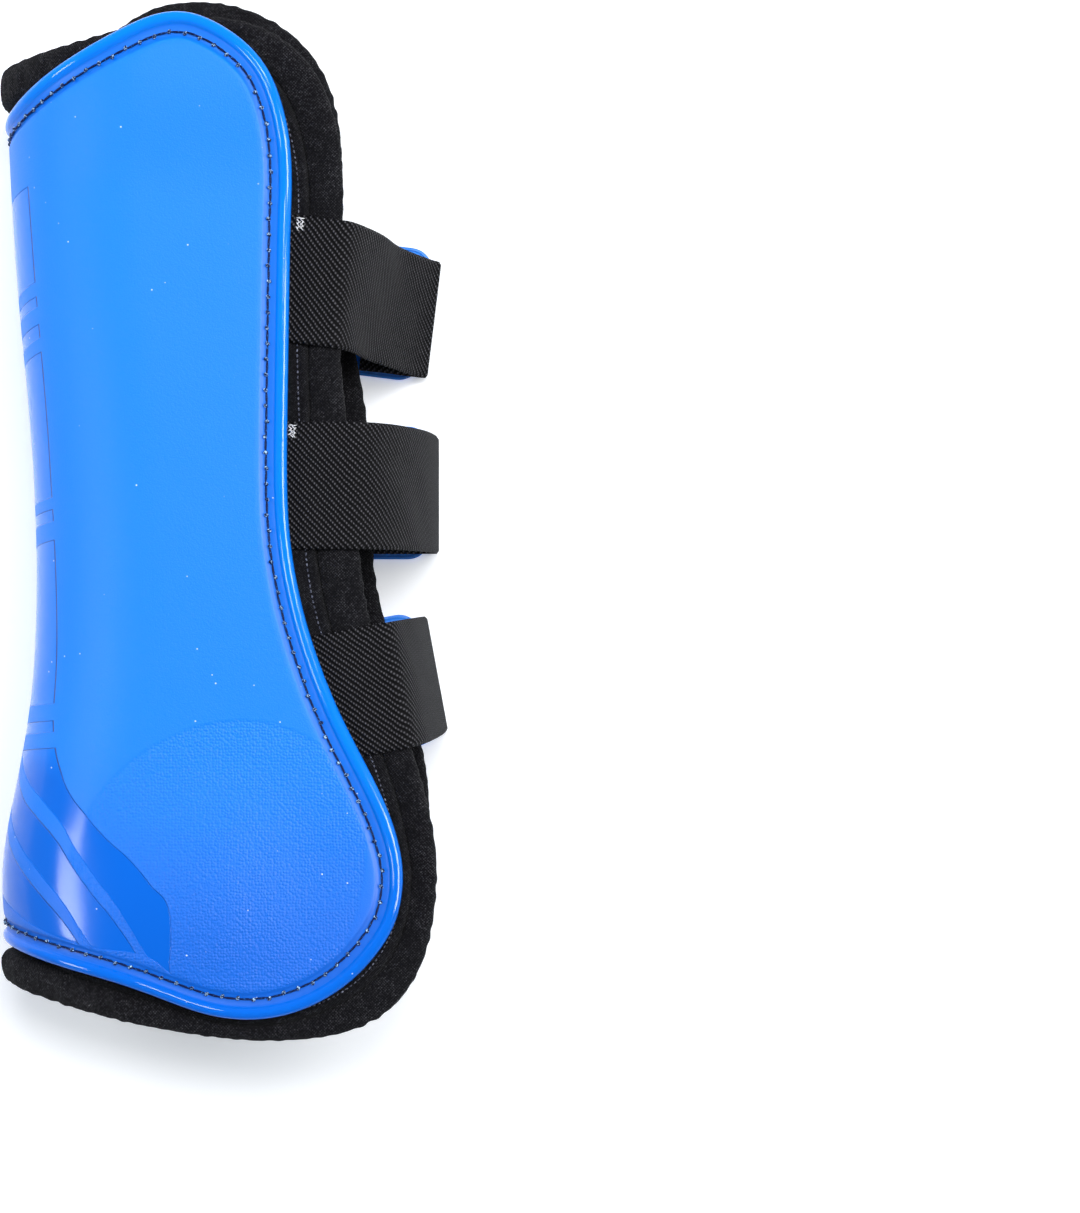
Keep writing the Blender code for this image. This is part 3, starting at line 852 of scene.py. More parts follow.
@dataclass(frozen=True)
class JerseyFinish:
    """Black knitted jersey over foam: fine wales, a soft nap and a little lint."""

    name: str = "black_jersey"
    colour: tuple[float, float, float, float] = rgba(0.0040, 0.0040, 0.0055)
    # painted highlight: the lighter colour laid on the knit's ridges and the tops of its folds
    light: tuple[float, float, float, float] = rgba(0.120, 0.118, 0.132)
    nap: float = 0.10
    wale: float = 0.75

    def build(self) -> bpy.types.Material:
        """Make the material."""
        d = NodeDesk(self.name)
        s, y = d.pattern()
        place = d.place_mm()
        across = d.math("SINE", d.math("MULTIPLY", s, 2 * math.pi / self.wale))
        shift = d.math("MULTIPLY_ADD", d.math("ABSOLUTE", across), 0.5, d.math("MULTIPLY", y, 1 / self.wale))
        along = d.math("SINE", d.math("MULTIPLY", shift, 2 * math.pi))
        knit = d.math("MULTIPLY_ADD", d.math("MULTIPLY", across, along), 0.5, 0.5)
        fuzz = d.noise(place, 1.7, 3.0, 0.75)
        patch = d.noise(place, 0.25, 3.0, 0.6)
        # painted highlight on the knit's ridges, stronger on the raised fold patches and weaker in their hollows
        share = d.math("MULTIPLY", d.math("POWER", knit, 2.0), d.step(fuzz, 0.42, 0.72, 0.03, 0.75))
        share = d.math("MULTIPLY", share, d.step(patch, 0.30, 0.70, 0.5, 1.5))
        tone = d.mix(share, self.colour, self.light)
        lint = d.math("MULTIPLY", d.step(d.cells(place, 0.16, "F1"), 0.02, 0.04, 1.0, 0.0), d.step(patch, 0.5, 0.6))
        tone = d.mix(d.math("MULTIPLY", lint, 0.35), tone, rgba(0.35, 0.36, 0.38))
        height = d.math("MULTIPLY_ADD", knit, 0.22, d.math("MULTIPLY", fuzz, self.nap))
        height = d.math("MULTIPLY_ADD", patch, 1.1, height)
        return d.surface(Base_Color=tone, Roughness=0.92, Normal=d.bump(height), Specular_IOR_Level=0.06,
                         Sheen_Weight=0.025, Sheen_Roughness=0.45)


@dataclass(frozen=True)
class ElasticWebFinish:
    """Black elastic webbing: slanted twill ribs broken into short floats."""

    colour: tuple[float, float, float, float] = rgba(0.0014, 0.0014, 0.0020)
    # painted highlight: the lighter colour on the tops of the ribs and floats
    rib_highlight: tuple[float, float, float, float] = rgba(0.150, 0.146, 0.162)
    pitch: float = 1.18
    slant: float = 46.0

    def build(self) -> bpy.types.Material:
        """Make the material."""
        d = NodeDesk("elastic_web")
        u, v = d.pattern()
        place = d.place_mm()
        turn = math.radians(self.slant)
        wander = d.math("MULTIPLY", d.math("SUBTRACT", d.noise(place, 0.35, 2.0), 0.5), 0.55)
        across = d.math("ADD", d.math("ADD", d.math("MULTIPLY", u, math.sin(turn)),
                                      d.math("MULTIPLY", v, math.cos(turn))), wander)
        along = d.math("SUBTRACT", d.math("MULTIPLY", u, math.cos(turn)), d.math("MULTIPLY", v, math.sin(turn)))
        row = d.math("DIVIDE", across, self.pitch)
        wave = d.math("SINE", d.math("MULTIPLY", row, 2 * math.pi))
        rib = d.math("MULTIPLY_ADD", wave, 0.5, 0.5)
        beat = d.math("MULTIPLY_ADD", along, 2 * math.pi / 0.78, d.math("MULTIPLY", row, 2.6))
        float_wave = d.math("MULTIPLY_ADD", d.math("SINE", beat), 0.5, 0.5)
        thread = d.math("MULTIPLY", rib, d.math("MULTIPLY_ADD", float_wave, 0.55, 0.45))
        fuzz = d.noise(place, 4.5, 3.0, 0.7)
        # painted highlight on the tops of the ribs and floats
        share = d.math("MULTIPLY", d.math("POWER", thread, 2.8), d.math("MULTIPLY_ADD", fuzz, 1.3, 0.2))
        tone = d.mix(share, self.colour, self.rib_highlight)
        height = d.math("MULTIPLY_ADD", thread, 0.55, d.math("MULTIPLY", fuzz, 0.06))
        return d.surface(Base_Color=tone, Roughness=0.72, Normal=d.bump(height), Specular_IOR_Level=0.07)


@dataclass(frozen=True)
class ThreadFinish:
    """Sewing thread with a twist and a little sheen."""

    name: str
    colour: tuple[float, float, float, float]
    glint: tuple[float, float, float, float]
    glint_share: float = 0.5

    def build(self) -> bpy.types.Material:
        """Make the material."""
        d = NodeDesk(self.name)
        place = d.place_mm()
        ply = d.noise(place, 2.4, 2.0, 0.7)
        tone = d.mix(d.step(ply, self.glint_share, self.glint_share + 0.12), self.colour, self.glint)
        return d.surface(Base_Color=tone, Roughness=0.5, Normal=d.bump(d.math("MULTIPLY", ply, 0.12)),
                         Specular_IOR_Level=0.12)


@dataclass(frozen=True)
class TouchTapeFinish:
    """Black hook or loop tape."""

    name: str
    pile: float
    scale: float

    def build(self) -> bpy.types.Material:
        """Make the material."""
        d = NodeDesk(self.name)
        place = d.place_mm()
        tufts = d.cells(place, self.scale, "SMOOTH_F1", 0.6)
        fuzz = d.noise(place, 3.0, 4.0, 0.8)
        tone = d.mix(d.math("MULTIPLY", tufts, fuzz), rgba(0.006, 0.006, 0.007), rgba(0.08, 0.08, 0.085))
        height = d.math("MULTIPLY_ADD", tufts, -self.pile, d.math("MULTIPLY", fuzz, 0.2))
        return d.surface(Base_Color=tone, Roughness=0.85, Normal=d.bump(height), Specular_IOR_Level=0.3)


@dataclass(frozen=True)
class FloorFinish:
    """Plain pale floor."""

    colour: tuple[float, float, float, float] = rgba(0.86, 0.87, 0.89)
    glow: float = 0.35

    def build(self) -> bpy.types.Material:
        """Make the material."""
        d = NodeDesk("pale_floor")
        cloud = d.math("MULTIPLY_ADD", d.noise(d.place_mm(), 0.004, 1.0), 0.02, self.glow)
        return d.surface(Base_Color=self.colour, Roughness=0.9, Specular_IOR_Level=0.1,
                         Emission_Color=self.colour, Emission_Strength=cloud)


class Finishes:
    """Every finish, made once."""

    def __init__(self) -> None:
        """Make the materials."""
        self.shell = MouldedShellFinish().build()
        self.tab = PuTabFinish().build()
        self.jersey = JerseyFinish().build()
        self.core = JerseyFinish("black_core", rgba(0.0035, 0.0035, 0.0050), rgba(0.105, 0.105, 0.122), 0.10,
                                 0.62).build()
        self.web = ElasticWebFinish().build()
        self.navy = ThreadFinish("navy_thread", rgba(0.0005, 0.008, 0.060), rgba(0.02, 0.16, 0.55), 0.58).build()
        self.knot = ThreadFinish("navy_knot", rgba(0.0005, 0.010, 0.070), rgba(0.42, 0.66, 0.92), 0.50).build()
        self.black = ThreadFinish("black_thread", rgba(0.045, 0.047, 0.070), rgba(0.26, 0.28, 0.37), 0.48).build()
        self.white = ThreadFinish("white_thread", rgba(0.55, 0.55, 0.56), rgba(0.85, 0.85, 0.86), 0.45).build()
        self.hook = TouchTapeFinish("hook_tape", 0.5, 0.9).build()
        self.loop = TouchTapeFinish("loop_tape", 0.25, 1.6).build()


def dress(obj: bpy.types.Object, material: bpy.types.Material) -> None:
    """Give a piece its one finish."""
    obj.data.materials.clear()
    obj.data.materials.append(material)


def hand_over(obj: bpy.types.Object, material: bpy.types.Material, body: str, slot: str, *nodes: str
              ) -> bpy.types.Object:
    """Finish a piece, hang it on its body and hide the CAD parts that it replaces.

    Args:
        obj: the piece.
        material: its finish.
        body: the body it rides on.
        slot: its material slot; not used.
        nodes: the CAD nodes that it replaces.

    Returns:
        The same piece.
    """
    dress(obj, material)
    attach(obj, body)
    if nodes:
        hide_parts(*nodes)
    return obj


# ---------------------------------------------------------------------------------------------- boot


@dataclass
class Shell:
    """One-piece moulded shell with a raised rim, a stitch channel and its seam."""

    form: BootForm
    edge: tuple[tuple[float, float], ...] = (
        (0, 103.5), (16, 106), (33, 113.6), (51, 122.5), (59, 126.3), (65.5, 127.4), (72, 126.4), (81, 121.2),
        (86.6, 115.5), (90, 109), (91.7, 99), (91.2, 89), (90, 79), (88.4, 60), (86, 39), (84.2, 22),
        (83.2, 6), (83.7, -6), (85.7, -18), (89.6, -31), (96.5, -46), (105, -58.5), (115.2, -72.5),
        (120.3, -83.5), (121.3, -92), (119.6, -100), (114.7, -107.2), (106.5, -115.5), (94.5, -122.3),
        (82, -124.7), (70.5, -123.3), (61, -119.6), (50, -115.2), (38, -112.2), (20, -108.6), (0, -107))
    corners: tuple[float, float] = (8.5, 26.0)
    cells: tuple[int, int] = (150, 120)
    wall: float = 2.2
    profile: tuple[tuple[float, float], ...] = (
        (0.15, -2.2), (0.0, -1.7), (0.0, -0.9), (0.10, -0.25), (0.35, 0.25), (0.75, 0.58), (1.3, 0.77),
        (1.9, 0.76), (2.45, 0.55), (2.85, 0.15), (3.15, -0.3), (3.6, -0.58), (5.9, -0.62), (6.3, -0.48),
        (6.7, -0.18), (7.2, -0.03), (8.2, 0.0))
    seam_inset: float = 5.2
    seam_depth: float = -0.32
    stitch_pitch: float = 3.9
    stitch_length: float = 3.7
    thread_radius: float = 0.30
    seed: int = 7

    def sides(self) -> Sides:
        """Edges of the cut."""
        return self.form.edges(list(self.edge), self.corners, self.cells)

    def build_panel(self, material: bpy.types.Material) -> bpy.types.Object:
        """Mould the shell."""
        sides = self.sides()
        obj = flat_sheet("moulded_shell", sides, list(self.profile))
        mesh = obj.data
        flat = get_points(mesh)
        count = len(loop_of(sides))
        inner = (self.cells[0] + 1) * (self.cells[1] + 1)
        edge_mm = np.full(len(flat), self.profile[-1][0])
        for k, (by, _) in enumerate(self.profile[-2::-1]):
            edge_mm[inner + k * count:inner + (k + 1) * count] = by
        attribute = mesh.attributes.new("edge_mm", "FLOAT", "POINT")
        attribute.data.foreach_set("value", edge_mm.astype(np.float32))
        thicken(obj, self.wall - 0.6)
        self.form.wrap_piece(obj)
        smooth_shade(obj, 60)
        return hand_over(obj, material, Body.BOOT.value, "blue_pu", "shell")

    def build_seam(self, material: bpy.types.Material, knot_material: bpy.types.Material) -> bpy.types.Object:
        """Sew the seam in the channel: lock stitches with a small knot between each two."""
        loop = inset(loop_of(self.sides()), self.seam_inset)
        closed = np.vstack([loop, loop[:1]])
        length = float(np.linalg.norm(np.diff(closed, axis=0), axis=1).sum())
        count = int(length / self.stitch_pitch)
        line = resample(closed, count * 8)
        rng = random.Random(self.seed)
        stitch = stitch_shape(self.stitch_length, self.thread_radius)
        knot = stitch_shape(1.25, 0.50)
        runs, knots = [], []
        for n in range(count):
            mid, end = line[n * 8 + 4], line[n * 8 + 8 if n * 8 + 8 < len(line) else 0]
            before, after = line[n * 8 + 1], line[n * 8 + 7]
            sway = rng.uniform(-0.12, 0.12)
            runs.append(self.seam_place(mid, before, after, self.seam_depth, sway * 0.5, rng.uniform(-0.05, 0.05)))
            depth = self.seam_depth + 0.18 + rng.uniform(0, 0.12)
            knots.append(self.seam_place(end, mid, after + (after - mid), depth, rng.uniform(-0.3, 0.3),
                                         rng.uniform(0.5, 1.3)))
        body = lay_copies("shell_seam", stitch, runs)
        bumps = lay_copies("shell_seam_knots", knot, knots)
        hand_over(body, material, Body.BOOT.value, "navy_thread", "shell_stitching")
        hand_over(bumps, knot_material, Body.BOOT.value, "navy_thread")
        return body

    def seam_place(self, at: np.ndarray, before: np.ndarray, after: np.ndarray, depth: float, sway: float,
                   roll: float) -> Matrix:
        """Place of one stitch or knot in the seam.

        Args:
            at: its flat place.
            before: a flat place just before it.
            after: a flat place just after it.
            depth: of its centre.
            sway: how far it wanders across the channel.
            roll: its turn.

        Returns:
            The placing matrix.
        """
        ahead = (after - before) / max(np.linalg.norm(after - before), 1e-6)
        at = at + sway * np.array([ahead[1], -ahead[0]])
        rows = np.array([[*at, depth], [*before, depth], [*after, depth], [*at, depth + 1.0]])
        world = self.form.wrap(rows)
        return frame_at(world[0], world[2] - world[1], world[3] - world[0], roll)


@dataclass
class Lining:
    """Foam lining with its jersey faces, the puffy rolled hem and the hem's seams."""

    form: BootForm
    core_edge: tuple[tuple[float, float], ...] = (
        (0, 107), (18, 109), (34, 113), (52, 117.6), (66, 120.2), (80, 118.3), (91, 110.5), (94.4, 98),
        (94.3, 82), (92, 60), (90.2, 40), (89.1, 20), (88.8, -6), (91.3, -22), (98.5, -41), (109.5, -57.5),
        (121, -80.5), (123.2, -92), (120.8, -103.5), (113, -114.5), (103.3, -121.3), (93.5, -124.7),
        (82, -126.7), (70, -125.3), (53, -118.5), (36, -114.6), (18, -111), (0, -109.7))
    core_corners: tuple[float, float] = (6.0, 19.0)
    hem_edge: tuple[tuple[float, float], ...] = (
        (0, 118), (15, 118), (34.5, 121), (51.5, 124.3), (66, 127.3), (80, 126.8), (90, 123),
        (97.5, 116.5), (102, 108.5), (103.7, 99), (103.5, 88), (101.6, 68), (98.7, 46), (99, 28),
        (100, -6), (102.8, -25), (108.8, -41), (116.6, -56), (126.2, -75), (129.3, -86.5), (129.3, -97),
        (126.2, -109), (119.4, -120), (110, -127), (96, -130.3), (77, -130.6), (56.5, -127.2),
        (34, -122.8), (17, -119), (0, -117.5))
    hem_corners: tuple[float, float] = (7.0, 22.0)
    cells: tuple[int, int] = (130, 110)
    face_profile: tuple[tuple[float, float], ...] = (
        (-0.4, -7.0), (-0.3, -6.2), (0.0, -5.6), (0.5, -5.1), (1.1, -4.75), (1.7, -4.72), (2.2, -4.95), (2.7, -4.72),
        (3.4, -4.6), (4.5, -4.6))
    core_wall: float = 3.4
    back_profile: tuple[tuple[float, float], ...] = ((0.0, -8.35), (1.5, -8.3), (3.0, -8.25))
    back_wall: float = 0.7
    hem_top: float = -4.75
    hem_foot: float = -9.4
    hem_spread: float = 6.6
    hem_steps: int = 28
    pucker_pitch: float = 3.4
    spine_tuck: float = 0.27
    spine_rise: float = 0.40
    hem_spread_s: float = 45.0
    far_lift: float = 3.2
    far_lift_at: float = 62.0
    far_lift_reach: float = 40.0
    seed: int = 11

    def core_sides(self) -> Sides:
        """Edges of the foam's cut."""
        return self.form.edges(list(self.core_edge), self.core_corners, self.cells)

    def hem_sides(self) -> Sides:
        """Edges of the hem's outside."""
        return self.form.edges(list(self.hem_edge), self.hem_corners, self.cells)

    def build_core(self, material: bpy.types.Material) -> bpy.types.Object:
        """Foam sheet with its jersey face, which shows beside the shell's rim."""
        obj = flat_sheet("lining_core", self.core_sides(), list(self.face_profile))
        flat = get_points(obj.data)
        ripple = 0.10 * np.sin(flat[:, 1] / 2.9 + 1.3 * np.sin(flat[:, 0] / 9.0)) * np.sin(flat[:, 0] / 3.7)
        flat[:, 2] += np.where(flat[:, 2] > -5.0, ripple, 0.0)
        set_points(obj.data, flat)
        thicken(obj, self.core_wall - 0.4)
        self.form.wrap_piece(obj)
        smooth_shade(obj, 70)
        hand_over(obj, material, Body.BOOT.value, "black_foam", "foam_core")
        return obj

    def build_back(self, material: bpy.types.Material) -> bpy.types.Object:
        """Jersey face on the leg side, quilted by a few soft channels."""
        sides = self.core_sides()
        obj = flat_sheet("leg_side_lining", sides, list(self.back_profile))
        flat = get_points(obj.data)
        slack = 0.22 * np.sin(flat[:, 1] / 11.0 + 0.8 * np.sin(flat[:, 0] / 17.0))
        flat[:, 2] -= np.abs(slack)
        set_points(obj.data, flat)
        thicken(obj, self.back_wall)
        self.form.wrap_piece(obj)
        smooth_shade(obj, 70)
        hand_over(obj, material, Body.BOOT.value, "black_jersey", "inner_lining")
        return obj

    def build_hem(self, material: bpy.types.Material) -> bpy.types.Object:
        """Rolled hem: a puffy binding that the stitching pulls in, fuller where it turns over the spine."""
        inner, outer = finer(loop_of(self.core_sides()), 3), finer(loop_of(self.hem_sides()), 3)
        step = np.linalg.norm(np.roll(inner, -1, axis=0) - inner, axis=1)
        run = np.concatenate([[0], np.cumsum(step)[:-1]])
        total = float(step.sum())
        rng = random.Random(self.seed)

        def waves(count: int, low: int, high: int, size: float) -> np.ndarray:
            """Random undulation along the hem, closed on itself."""
            return sum(rng.uniform(0.4, 1.0) * size * np.sin(2 * np.pi * rng.randint(low, high) * run / total
                                                             + rng.uniform(0, 6.3)) for _ in range(count))

        swell, crumple, sway = waves(9, 20, 70, 0.10), waves(16, 90, 240, 0.09), waves(10, 110, 260, 0.05)
        pucker = 0.5 - 0.5 * np.cos(2 * np.pi * run / self.pucker_pitch + 12.0 * sway)
        rings = []
        for n in range(self.hem_steps):
            turn = 2 * math.pi * n / self.hem_steps
            across, up = math.cos(turn), math.sin(turn)
            across = math.copysign(abs(across) ** 0.8, across)
            up = math.copysign(abs(up) ** 0.75, up)
            share = 0.5 + 0.5 * across
            near_seam = (1 - share) ** 2
            mid, half = (self.hem_top + self.hem_foot) / 2, (self.hem_top - self.hem_foot) / 2
            lean = math.exp(-((share - 0.45) / 0.30) ** 2)
            puff = half * (1 - 0.22 * near_seam) + swell * (0.4 + share) + crumple * lean
            depth = mid + up * puff - (0.32 * pucker * near_seam if up > 0 else 0.0)
            inner_f = 0.03 - self.spine_tuck * (1 - ease(np.abs(inner[:, 0]) / 40.0))
            f = inner_f + (1 - inner_f) * share
            place = inner + f[:, None] * (outer - inner)
            out = (outer - inner) / np.linalg.norm(outer - inner, axis=1)[:, None]
            place = place + out * (sway * share ** 2 * 1.2)[:, None]
            s, y = place[:, 0].copy(), place[:, 1].copy()
            reach = (f + self.spine_tuck) / self.spine_rise
            spread = self.hem_spread * ease(reach) * (1 - ease(np.abs(s) / self.hem_spread_s))
            off = np.clip(np.abs(-s - self.far_lift_at) / self.far_lift_reach, 0, 1)
            lift = self.far_lift * np.clip(f, 0, 1) * np.cos(np.pi / 2 * off) ** 2 * ease((y - 60) / 50)
            y += np.where((s < 0) & (y > 0), lift, 0.0)
            rings.append(np.column_stack([s, y, depth + spread]))
        obj = ring_tube("rolled_hem", rings)
        self.form.wrap_piece(obj)
        smooth_shade(obj, 80)
        hand_over(obj, material, Body.BOOT.value, "black_jersey", "lining_hem")
        return obj

    def build_seams(self, material: bpy.types.Material) -> bpy.types.Object:
        """Fine row of stitches that holds the hem, just outside the shell's rim."""
        loop = loop_of(self.core_sides())
        stitch = stitch_shape(0.85, 0.20)
        rng = random.Random(self.seed + 1)
        places = []
        for by, depth in ((2.2, -4.72),):
            row = inset(loop, by)
            closed = np.vstack([row, row[:1]])
            length = float(np.linalg.norm(np.diff(closed, axis=0), axis=1).sum())
            count = int(length / 1.35)
            line = resample(closed, count * 4)
            for n in range(count):
                at, before, after = line[n * 4 + 2], line[n * 4 + 1], line[n * 4 + 3]
                rows = np.array([[*at, depth], [*before, depth], [*after, depth], [*at, depth + 1.0]])
                world = self.form.wrap(rows)
                places.append(frame_at(world[0], world[2] - world[1], world[3] - world[0], rng.uniform(-0.12, 0.12)))
        obj = lay_copies("hem_seams", stitch, places)
        return hand_over(obj, material, Body.BOOT.value, "black_thread", "hem_stitching")


# ---------------------------------------------------------------------------------------------- straps


@dataclass
class Strap:
    """One closing strap: elastic band, PU tab, hook and loop tape, and its stitching."""

    form: BootForm
    name: StrapName
    tilt: float
    sewn_x: float
    bend_x: float
    fold: tuple[float, float]
    tab_shift: float
    has_tack: bool
    width: float = 32.0
    web: float = 1.5
    root_face: float = -2.8
    root_length: float = 12.0
    fold_z: float = 1.8
    tail_length: float = 19.4
    tab_width: float = 36.5
    tab_p: tuple[float, float] = (-72.0, -2.7)
    tab_corner: float = 6.0
    tab_depth: float = 3.5
    tab_wall: float = 1.5
    hook_p: tuple[float, float] = (-68.0, -22.5)
    hook_width: float = 26.0
    hook_depths: tuple[float, float] = (1.85, 3.2)
    loop_x: tuple[float, float] = (-28.0, 5.5)
    loop_width: float = 30.0
    loop_depths: tuple[float, float] = (0.35, 1.5)
    stitch_p: tuple[float, float] = (-16.0, -5.5)
    stitch_width: float = 22.0
    belly: tuple[float, float, float] = (0.62, 0.45, 0.0)
    crease: tuple[float, float, float] = (-8.0, 0.0, 0.0)
    tack_x: float = 15.4
    tack_stitches: int = 12
    tack_pitch: float = 0.52
    seed: int = 3

    def __post_init__(self) -> None:
        """Work out the band's line."""
        slope = math.radians(self.tilt)
        self.along = np.array([math.cos(slope), math.sin(slope)])
        self.across = np.array([-math.sin(slope), math.cos(slope)])
        self.face_z = self.form.mid_z + self.form.half_height + self.root_face
        self.strap_body = f"{self.name.value}_strap"
        self.closure_body = f"{self.name.value}_closure"

    def lay(self, p: np.ndarray, q: np.ndarray, z: np.ndarray) -> np.ndarray:
        """Places in the frame of places on the strap: p along it from the fold, q across it."""
        xy = np.array(self.fold) + np.outer(p, self.along) + np.outer(q, self.across)
        return self.form.place(np.column_stack([xy, z]))

    def spot(self, p: float, q: float, z: float) -> tuple[float, float, float]:
        """One place in the frame."""
        return tuple(float(c) for c in self.lay(np.array([p]), np.array([q]), np.array([z]))[0])

    def centre_line(self) -> tuple[np.ndarray, np.ndarray, np.ndarray]:
        """Middle of the band from its sewn end, in one slack curve over the hem and down, to its tail.

        Returns:
            Places (p, z), outward directions, and the run along the line, in mm.
        """
        sewn, bend = self.sewn_x - self.fold[0], self.bend_x - self.fold[0]
        mid_z, tail_z = self.face_z - self.web / 2, self.fold_z + self.web / 2
        turn = self.web / 2 + 0.45
        end_p = -turn - self.web / 2 - 0.1
        start, stop = np.array([bend - 1.0, mid_z]), np.array([end_p + turn, tail_z + turn])
        reach, fall = stop[0] - start[0], start[1] - stop[1]
        pull_a, pull_b = start + [reach * self.belly[0], 0.0], stop + [reach * self.belly[2], fall * self.belly[1]]
        u = np.linspace(0, 1, 61)[:, None]
        drop = (1 - u) ** 3 * start + 3 * (1 - u) ** 2 * u * pull_a + 3 * (1 - u) * u ** 2 * pull_b + u ** 3 * stop
        line = [(sewn - self.root_length, mid_z), *map(tuple, drop)]
        for a in np.linspace(0, -math.pi / 2, 9)[1:]:
            line.append((end_p + turn * math.cos(a), tail_z + turn + turn * math.sin(a)))
        line.append((-self.tail_length, tail_z))
        fine = resample(line, 300)
        kernel = np.hanning(9) / np.hanning(9).sum()
        padded = np.vstack([np.repeat(fine[:1], 4, axis=0), fine, np.repeat(fine[-1:], 4, axis=0)])
        soft = np.column_stack([np.convolve(padded[:, k], kernel, mode="valid") for k in (0, 1)])
        ahead = np.gradient(soft, axis=0)
        ahead /= np.linalg.norm(ahead, axis=1)[:, None]
        normal = np.column_stack([-ahead[:, 1], ahead[:, 0]])
        run = np.concatenate([[0], np.cumsum(np.linalg.norm(np.diff(soft, axis=0), axis=1))])
        return soft, normal, run

    def build_band(self, material: bpy.types.Material) -> None:
        """Weave the band in two lengths that meet half way down."""
        line, normal, run = self.centre_line()
        falling = np.where((line[:, 1] < self.face_z - 25) & (np.gradient(line[:, 1]) < 0))[0]
        half = int(falling[0])
        top = self.band_part(f"{self.name.value}_web_top", line, normal, run, 0, half, material)
        foot = self.band_part(f"{self.name.value}_web_foot", line, normal, run, half, len(line) - 1, material)
        sewn = self.sewn_x - self.fold[0]
        self.spot(sewn - 0.6, 0, self.face_z)
        self.spot(sewn + 2.4, 0, self.face_z)
        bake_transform(top)
        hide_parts(f"{self.name.value}_strap_root", f"{self.name.value}_strap_band")
        self.spot(-3.5, 0, self.fold_z + 7.0)
        self.spot(-4.5, 0, self.fold_z + 1.4)
        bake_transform(foot)
        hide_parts(f"{self.name.value}_strap_tail")

    def band_part(self, name: str, line: np.ndarray, normal: np.ndarray, run: np.ndarray, first: int, last: int,
                  material: bpy.types.Material) -> bpy.types.Object:
        """One length of the band with rounded selvedges.

        Args:
            name: the piece's name.
            line: middle of the whole band, as (p, z).
            normal: its outward directions.
            run: distance along it.
            first: first station.
            last: last station.
            material: its finish.

        Returns:
            The closed length of webbing.
        """
        columns = 40
        half_w, half_t = self.width / 2, self.web / 2
        q = np.linspace(-half_w, half_w, columns + 1)
        edge = np.clip((half_w - np.abs(q)) / 0.9, 0, 1)
        thick = half_t * np.sqrt(np.clip(1 - (1 - edge) ** 2, 0.06, 1))
        section = [(a, b) for a, b in zip(q, thick)] + [(a, -b) for a, b in zip(q[::-1], thick[::-1])]
        points, flat = [], []
        for k in range(first, last + 1):
            for a, b in section:
                lift = b + self.ripple(a, line[k, 0], run[k])
                points.append((line[k, 0] + normal[k, 0] * lift, a, line[k, 1] + normal[k, 1] * lift))
                flat.append((run[k], a, 0.0))
        per = len(section)
        count = last - first + 1
        faces = [(k * per + m, k * per + (m + 1) % per, (k + 1) * per + (m + 1) % per, (k + 1) * per + m)
                 for k in range(count - 1) for m in range(per)]
        for row in (0, count - 1):
            base = row * per
            for m in range(columns):
                faces.append((base + m, base + m + 1, base + per - 2 - m, base + per - 1 - m))
        rows = np.array(points)
        obj = mesh_object(name, self.lay(rows[:, 0], rows[:, 1], rows[:, 2]), faces)
        bm = bmesh.new()
        bm.from_mesh(obj.data)
        bmesh.ops.recalc_face_normals(bm, faces=bm.faces)
        bm.to_mesh(obj.data)
        bm.free()
        write_pattern_uv(obj.data, np.array(flat))
        face_outwards(obj.data)
        smooth_shade(obj, 60)
        dress(obj, material)
        return obj

    def ripple(self, q: float, p: float, run: float) -> float:
        """How far the band stands off its middle line: a crease across its drop and a little waviness.

        Args:
            q: place across the band, in mm.
            p: place along the strap from the fold, in mm.
            run: distance along the band, in mm.

        Returns:
            The distance outwards, in mm.
        """
        free = float(ease((p - (self.bend_x - self.fold[0]) + 2.0) / 6.0) * ease((-p - 1.2) / 4.0))
        at, depth, lean = self.crease
        valley = -depth * math.exp(-(((p - at) - lean * q) / 3.4) ** 2) * (0.75 - 0.5 * q / self.width)
        wave = 0.25 * math.sin(run / 7.3 + 0.11 * q + self.fold[1]) + 0.12 * math.sin(q / 3.1 + run / 4.7)
        return free * (valley + wave)

    def rounded(self, span: tuple[float, float], centre: float, width: float, corner: float,
                cells: tuple[int, int]) -> Sides:
        """Edges of a rectangle with rounded corners.

        Args:
            span: its ends along the strap.
            centre: its middle across the strap.
            width: across the strap.
            corner: radius of its corners.
            cells: steps across and along.

        Returns:
            The four edges.
        """
        (x0, x1), (y0, y1) = span, (centre - width / 2, centre + width / 2)
        mid = ((x0 + corner, y1 - corner), (x1 - corner, y1 - corner), (x1 - corner, y0 + corner),
               (x0 + corner, y0 + corner))

        def arc(which: int, start: float, end: float) -> Points:
            """Part of one rounded corner."""
            turns = np.radians(np.linspace(start, end, 7))
            return [(mid[which][0] + corner * math.cos(a), mid[which][1] + corner * math.sin(a)) for a in turns]

        return (resample(arc(0, 135, 90) + arc(1, 90, 45), cells[0]),
                resample(arc(1, 45, 0) + arc(2, 0, -45), cells[1]),
                resample(arc(3, -135, -90) + arc(2, -90, -45), cells[0]),
                resample(arc(0, 135, 180) + arc(3, 180, 225), cells[1]))

    def layer(self, name: str, sides: Sides, profile: Points, wall: float, node: str, slot: str,
              body: str, material: bpy.types.Material) -> bpy.types.Object:
        """A flat layer under the far wing: depths count downwards from the wing's face.

        Args:
            name: the piece's name.
            sides: edges of its cut, on the strap.
            profile: (inset, depth) rings of its lower face.
            wall: its thickness.
            node: the CAD node that it replaces.
            slot: its material slot.
            body: the body it rides on.
            material: its finish.

        Returns:
            The layer.
        """
        obj = flat_sheet(name, sides, profile)
        thicken(obj, wall)
        flat = get_points(obj.data)
        write_pattern_uv(obj.data, flat)
        xy = np.array(self.fold) + np.outer(flat[:, 0], self.along) + np.outer(flat[:, 1], self.across)
        set_points(obj.data, self.form.below_far_wing(np.column_stack([xy, flat[:, 2]])))
        face_outwards(obj.data)
        smooth_shade(obj, 50)
        return hand_over(obj, material, body, slot, node)

